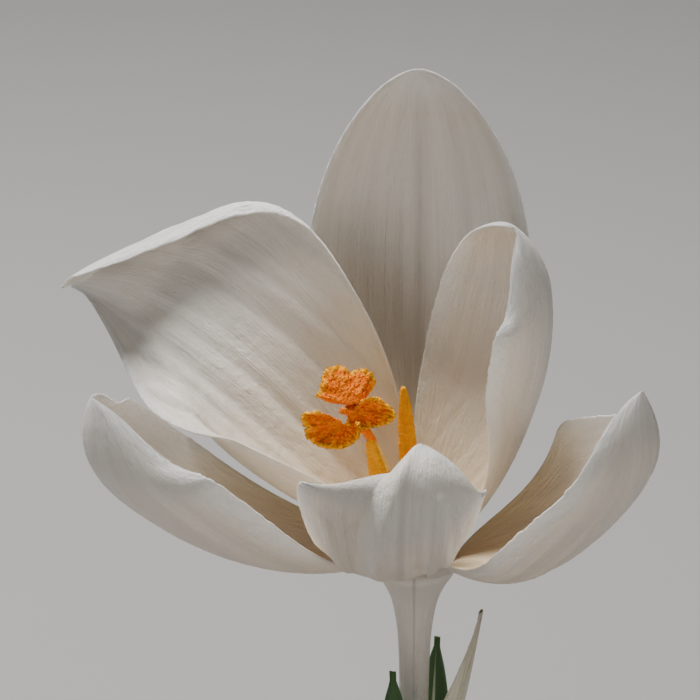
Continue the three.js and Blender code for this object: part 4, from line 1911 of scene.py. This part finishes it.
@dataclass
class Soil:
    """The potting soil, mounded to the plant and strewn with crumbs.

    Attributes:
        pot: The pot it fills.
        level: Its height at the wall.
        mound: How much higher it is at the plant.
        hole: Radius of the hole the shoot stands in.
        crumbs: How many crumbs lie on it.
    """

    pot: Pot
    level: float = 61.0
    mound: float = 2.5
    hole: float = 5.6
    crumbs: int = 900

    SEGMENTS = 240
    MOUND_RADIUS = 36.0
    GAP = 0.3

    def height_at(self, x: Array, y: Array) -> Array:
        """Work out the height of the soil's surface.

        Args:
            x: Places to the right.
            y: Places to the back.

        Returns:
            The heights.
        """
        radius = np.hypot(x, y)
        mound = self.mound * np.cos(math.pi / 2 * np.minimum(radius / self.MOUND_RADIUS, 1))
        coarse = np.sin(0.55 * x + 1.3) * np.cos(0.5 * y - 0.4) + 0.6 * np.sin(0.9 * y + 0.35 * x)
        flat = np.stack(np.broadcast_arrays(x, y, 0 * x), axis=-1)
        fine = lumps(flat, 4.2, 2.0, 4)
        return self.level + mound + 0.6 * coarse + 0.3 * fine

    def body_mesh(self) -> MeshData:
        """Shape the soil round the corm and up to its surface.

        Returns:
            The soil's mesh, without crumbs.
        """
        gap = self.GAP
        bottom = self.pot.floor + gap
        side = self.pot.inner_radius(self.level) - gap
        under = [(0.05, CORM_BOX[0] - gap)]
        middle, half = sum(CORM_BOX) / 2, (CORM_BOX[1] - CORM_BOX[0]) / 2 + gap
        for turn in np.radians(np.linspace(-75, 55, 14)):
            under.append((CORM_RADIUS * math.cos(turn) ** 0.7 + gap, middle + half * math.sin(turn)))
        under.append((self.hole, CORM_BOX[1] + gap))
        over = [(radius, 0.0) for radius in np.linspace(self.hole, side, 70)]
        below = [
            (self.pot.inner_radius(bottom + 3) - gap, bottom + 3),
            (self.pot.inner_radius(bottom) - 3, bottom),
            (0.05, bottom),
        ]
        profile = np.array(under + over + below)
        rings = turned(profile, all_round(self.SEGMENTS))
        top = slice(len(under), len(under) + len(over))
        rings[top, :, 2] = self.height_at(rings[top, :, 0], rings[top, :, 1])
        return turned_mesh(rings, closed=False)

    def crumb_mesh(self, rng: np.random.Generator) -> MeshData:
        """Shape one crumb and lay it on the surface.

        Args:
            rng: Draws its size, place and shape.

        Returns:
            The crumb's mesh.
        """
        size = rng.uniform(0.35, 0.6) * rng.choice([0.6, 1.0, 1.8], p=[0.55, 0.35, 0.1])
        nearest, farthest = self.hole + 1.2, self.pot.inner_radius(self.level) - 1.6
        radius = math.sqrt(rng.uniform(nearest**2, farthest**2))
        turn = rng.uniform(0, 2 * math.pi)
        x, y = radius * math.sin(turn), -radius * math.cos(turn)
        polar_angle = np.linspace(0.05, math.pi - 0.05, 9)[:, None]
        around = np.linspace(0, 2 * math.pi, 12, endpoint=False)
        level = np.sin(polar_angle)
        sides = np.broadcast_arrays(level * np.cos(around), level * np.sin(around), np.cos(polar_angle))
        ball = np.stack(sides, axis=-1)
        stretch = rng.uniform(0.7, 1.25, 3)
        knobbly = 1 + 0.22 * lumps(ball * 3, 4.0, float(rng.integers(1000)), 2)[..., None]
        turned_to = np.linalg.qr(rng.normal(size=(3, 3)))[0]
        rings = (ball * knobbly * stretch * size) @ turned_to
        z = float(self.height_at(np.array(x), np.array(y))) + 0.45 * size
        return turned_mesh(rings + [x, y, z], closed=False)

    def build(self) -> None:
        """Make the soil as one piece."""
        rng = np.random.default_rng(12)
        crumbs = [self.crumb_mesh(rng) for _ in range(self.crumbs)]
        mesh = merged([self.body_mesh()] + crumbs)
        new_piece("soil_and_crumbs", mesh, SoilFinish().material("soil"), ["soil"])


@dataclass
class Potting:
    """The pot with its soil, and the corm in it."""

    pot: Pot = field(default_factory=Pot)

    def build(self) -> None:
        """Make the pot and the soil, and dress the corm."""
        new_piece("pot_body", self.pot.mesh(), ClayFinish().material("clay"), ["pot"])
        Soil(self.pot).build()
        corm = bpy.data.objects["corm"]
        corm.data.materials.clear()
        corm.data.materials.append(TunicFinish().material("tunic"))


# ---- studio ----


@dataclass
class Camera:
    """The camera at the photograph's place, looking down at the bloom.

    Attributes:
        elevation: Its angle over the horizon, in degrees.
        distance: From the plane through the throat.
        width: How much of that plane it sees across.
        aim: Where it looks, right of and above the throat in that plane.
    """

    elevation: float = 24.0
    distance: float = 380.0
    width: float = 70.0
    aim: tuple[float, float] = (-6.5, 20.6)

    def build(self) -> None:
        """Make it the scene's camera."""
        angle = math.radians(self.elevation)
        up = Vector((0, math.sin(angle), math.cos(angle)))
        back = Vector((0, -math.cos(angle), math.sin(angle)))
        target = Vector((self.aim[0], 0, THROAT)) + self.aim[1] * up
        data = bpy.data.cameras.new("camera")
        data.lens = data.sensor_width * self.distance / self.width
        data.clip_start, data.clip_end = 0.05, 20.0
        camera = new_object("camera", data)
        camera.location = (target + self.distance * back) * MM
        look_along(camera, -back)
        bpy.context.scene.camera = camera


@dataclass(frozen=True)
class SoftBox:
    """A square studio light.

    Attributes:
        place: Where it stands, in millimetres.
        size: Its side, in millimetres.
        power: In watts.
        colour: Of its light.
    """

    place: Point
    size: float
    power: float
    colour: Colour

    def build(self, name: str) -> None:
        """Make the light, aimed at the bloom.

        Args:
            name: The light's name.
        """
        data = bpy.data.lights.new(name, "AREA")
        data.size = self.size * MM
        data.energy = self.power
        data.color = self.colour
        light = new_object(name, data)
        light.location = Vector(self.place) * MM
        look_along(light, Vector((0, 0, BLOOM)) - Vector(self.place))
        light.visible_camera = False


@dataclass
class Studio:
    """The floor, the light and the camera round the part.

    Attributes:
        floor_size: The floor's side, in millimetres.
        sky: Colour of the light from all round.
        sky_strength: Its strength.
        boxes: The studio lights.
    """

    floor_size: float = 6000.0
    sky: Colour = (0.80, 0.82, 0.85)
    sky_strength: float = 0.12
    boxes: tuple[SoftBox, ...] = (
        SoftBox((-170, 280, 620), 260, 8.0, (1.0, 0.97, 0.93)),
        SoftBox((-330, -460, 240), 340, 0.8, (1.0, 0.965, 0.92)),
        SoftBox((420, -360, 300), 340, 0.8, (1.0, 0.97, 0.93)),
    )

    def build(self) -> None:
        """Make the floor, the sky, the lights and the camera."""
        Camera().build()
        self.build_floor()
        self.build_sky()
        for number, box in enumerate(self.boxes, 1):
            box.build(f"soft_box_{number}")

    def build_floor(self) -> None:
        """Make the floor at the height of the pot's underside."""
        half = self.floor_size / 2 * MM
        data = bpy.data.meshes.new("floor")
        corners = [(-half, -half, 0), (half, -half, 0), (half, half, 0), (-half, half, 0)]
        data.from_pydata(corners, [], [(0, 1, 2, 3)])
        data.materials.append(FloorFinish().material("floor"))
        floor = new_object("floor", data)

    def build_sky(self) -> None:
        """Make the even light from all round."""
        world = bpy.data.worlds.new("studio")
        world.use_nodes = True
        background = world.node_tree.nodes["Background"]
        background.inputs["Color"].default_value = (*self.sky, 1.0)
        background.inputs["Strength"].default_value = self.sky_strength
        bpy.context.scene.world = world


def main() -> None:
    """Build the plant, its pot and the studio."""
    logging.basicConfig(level=logging.INFO, format="%(message)s")
    Studio().build()
    Perianth().build()
    FlowerTube().build()
    Stamens().build()
    Stigma().build()
    Shoot().build()
    Potting().build()


if __name__ == "__main__":
    main()
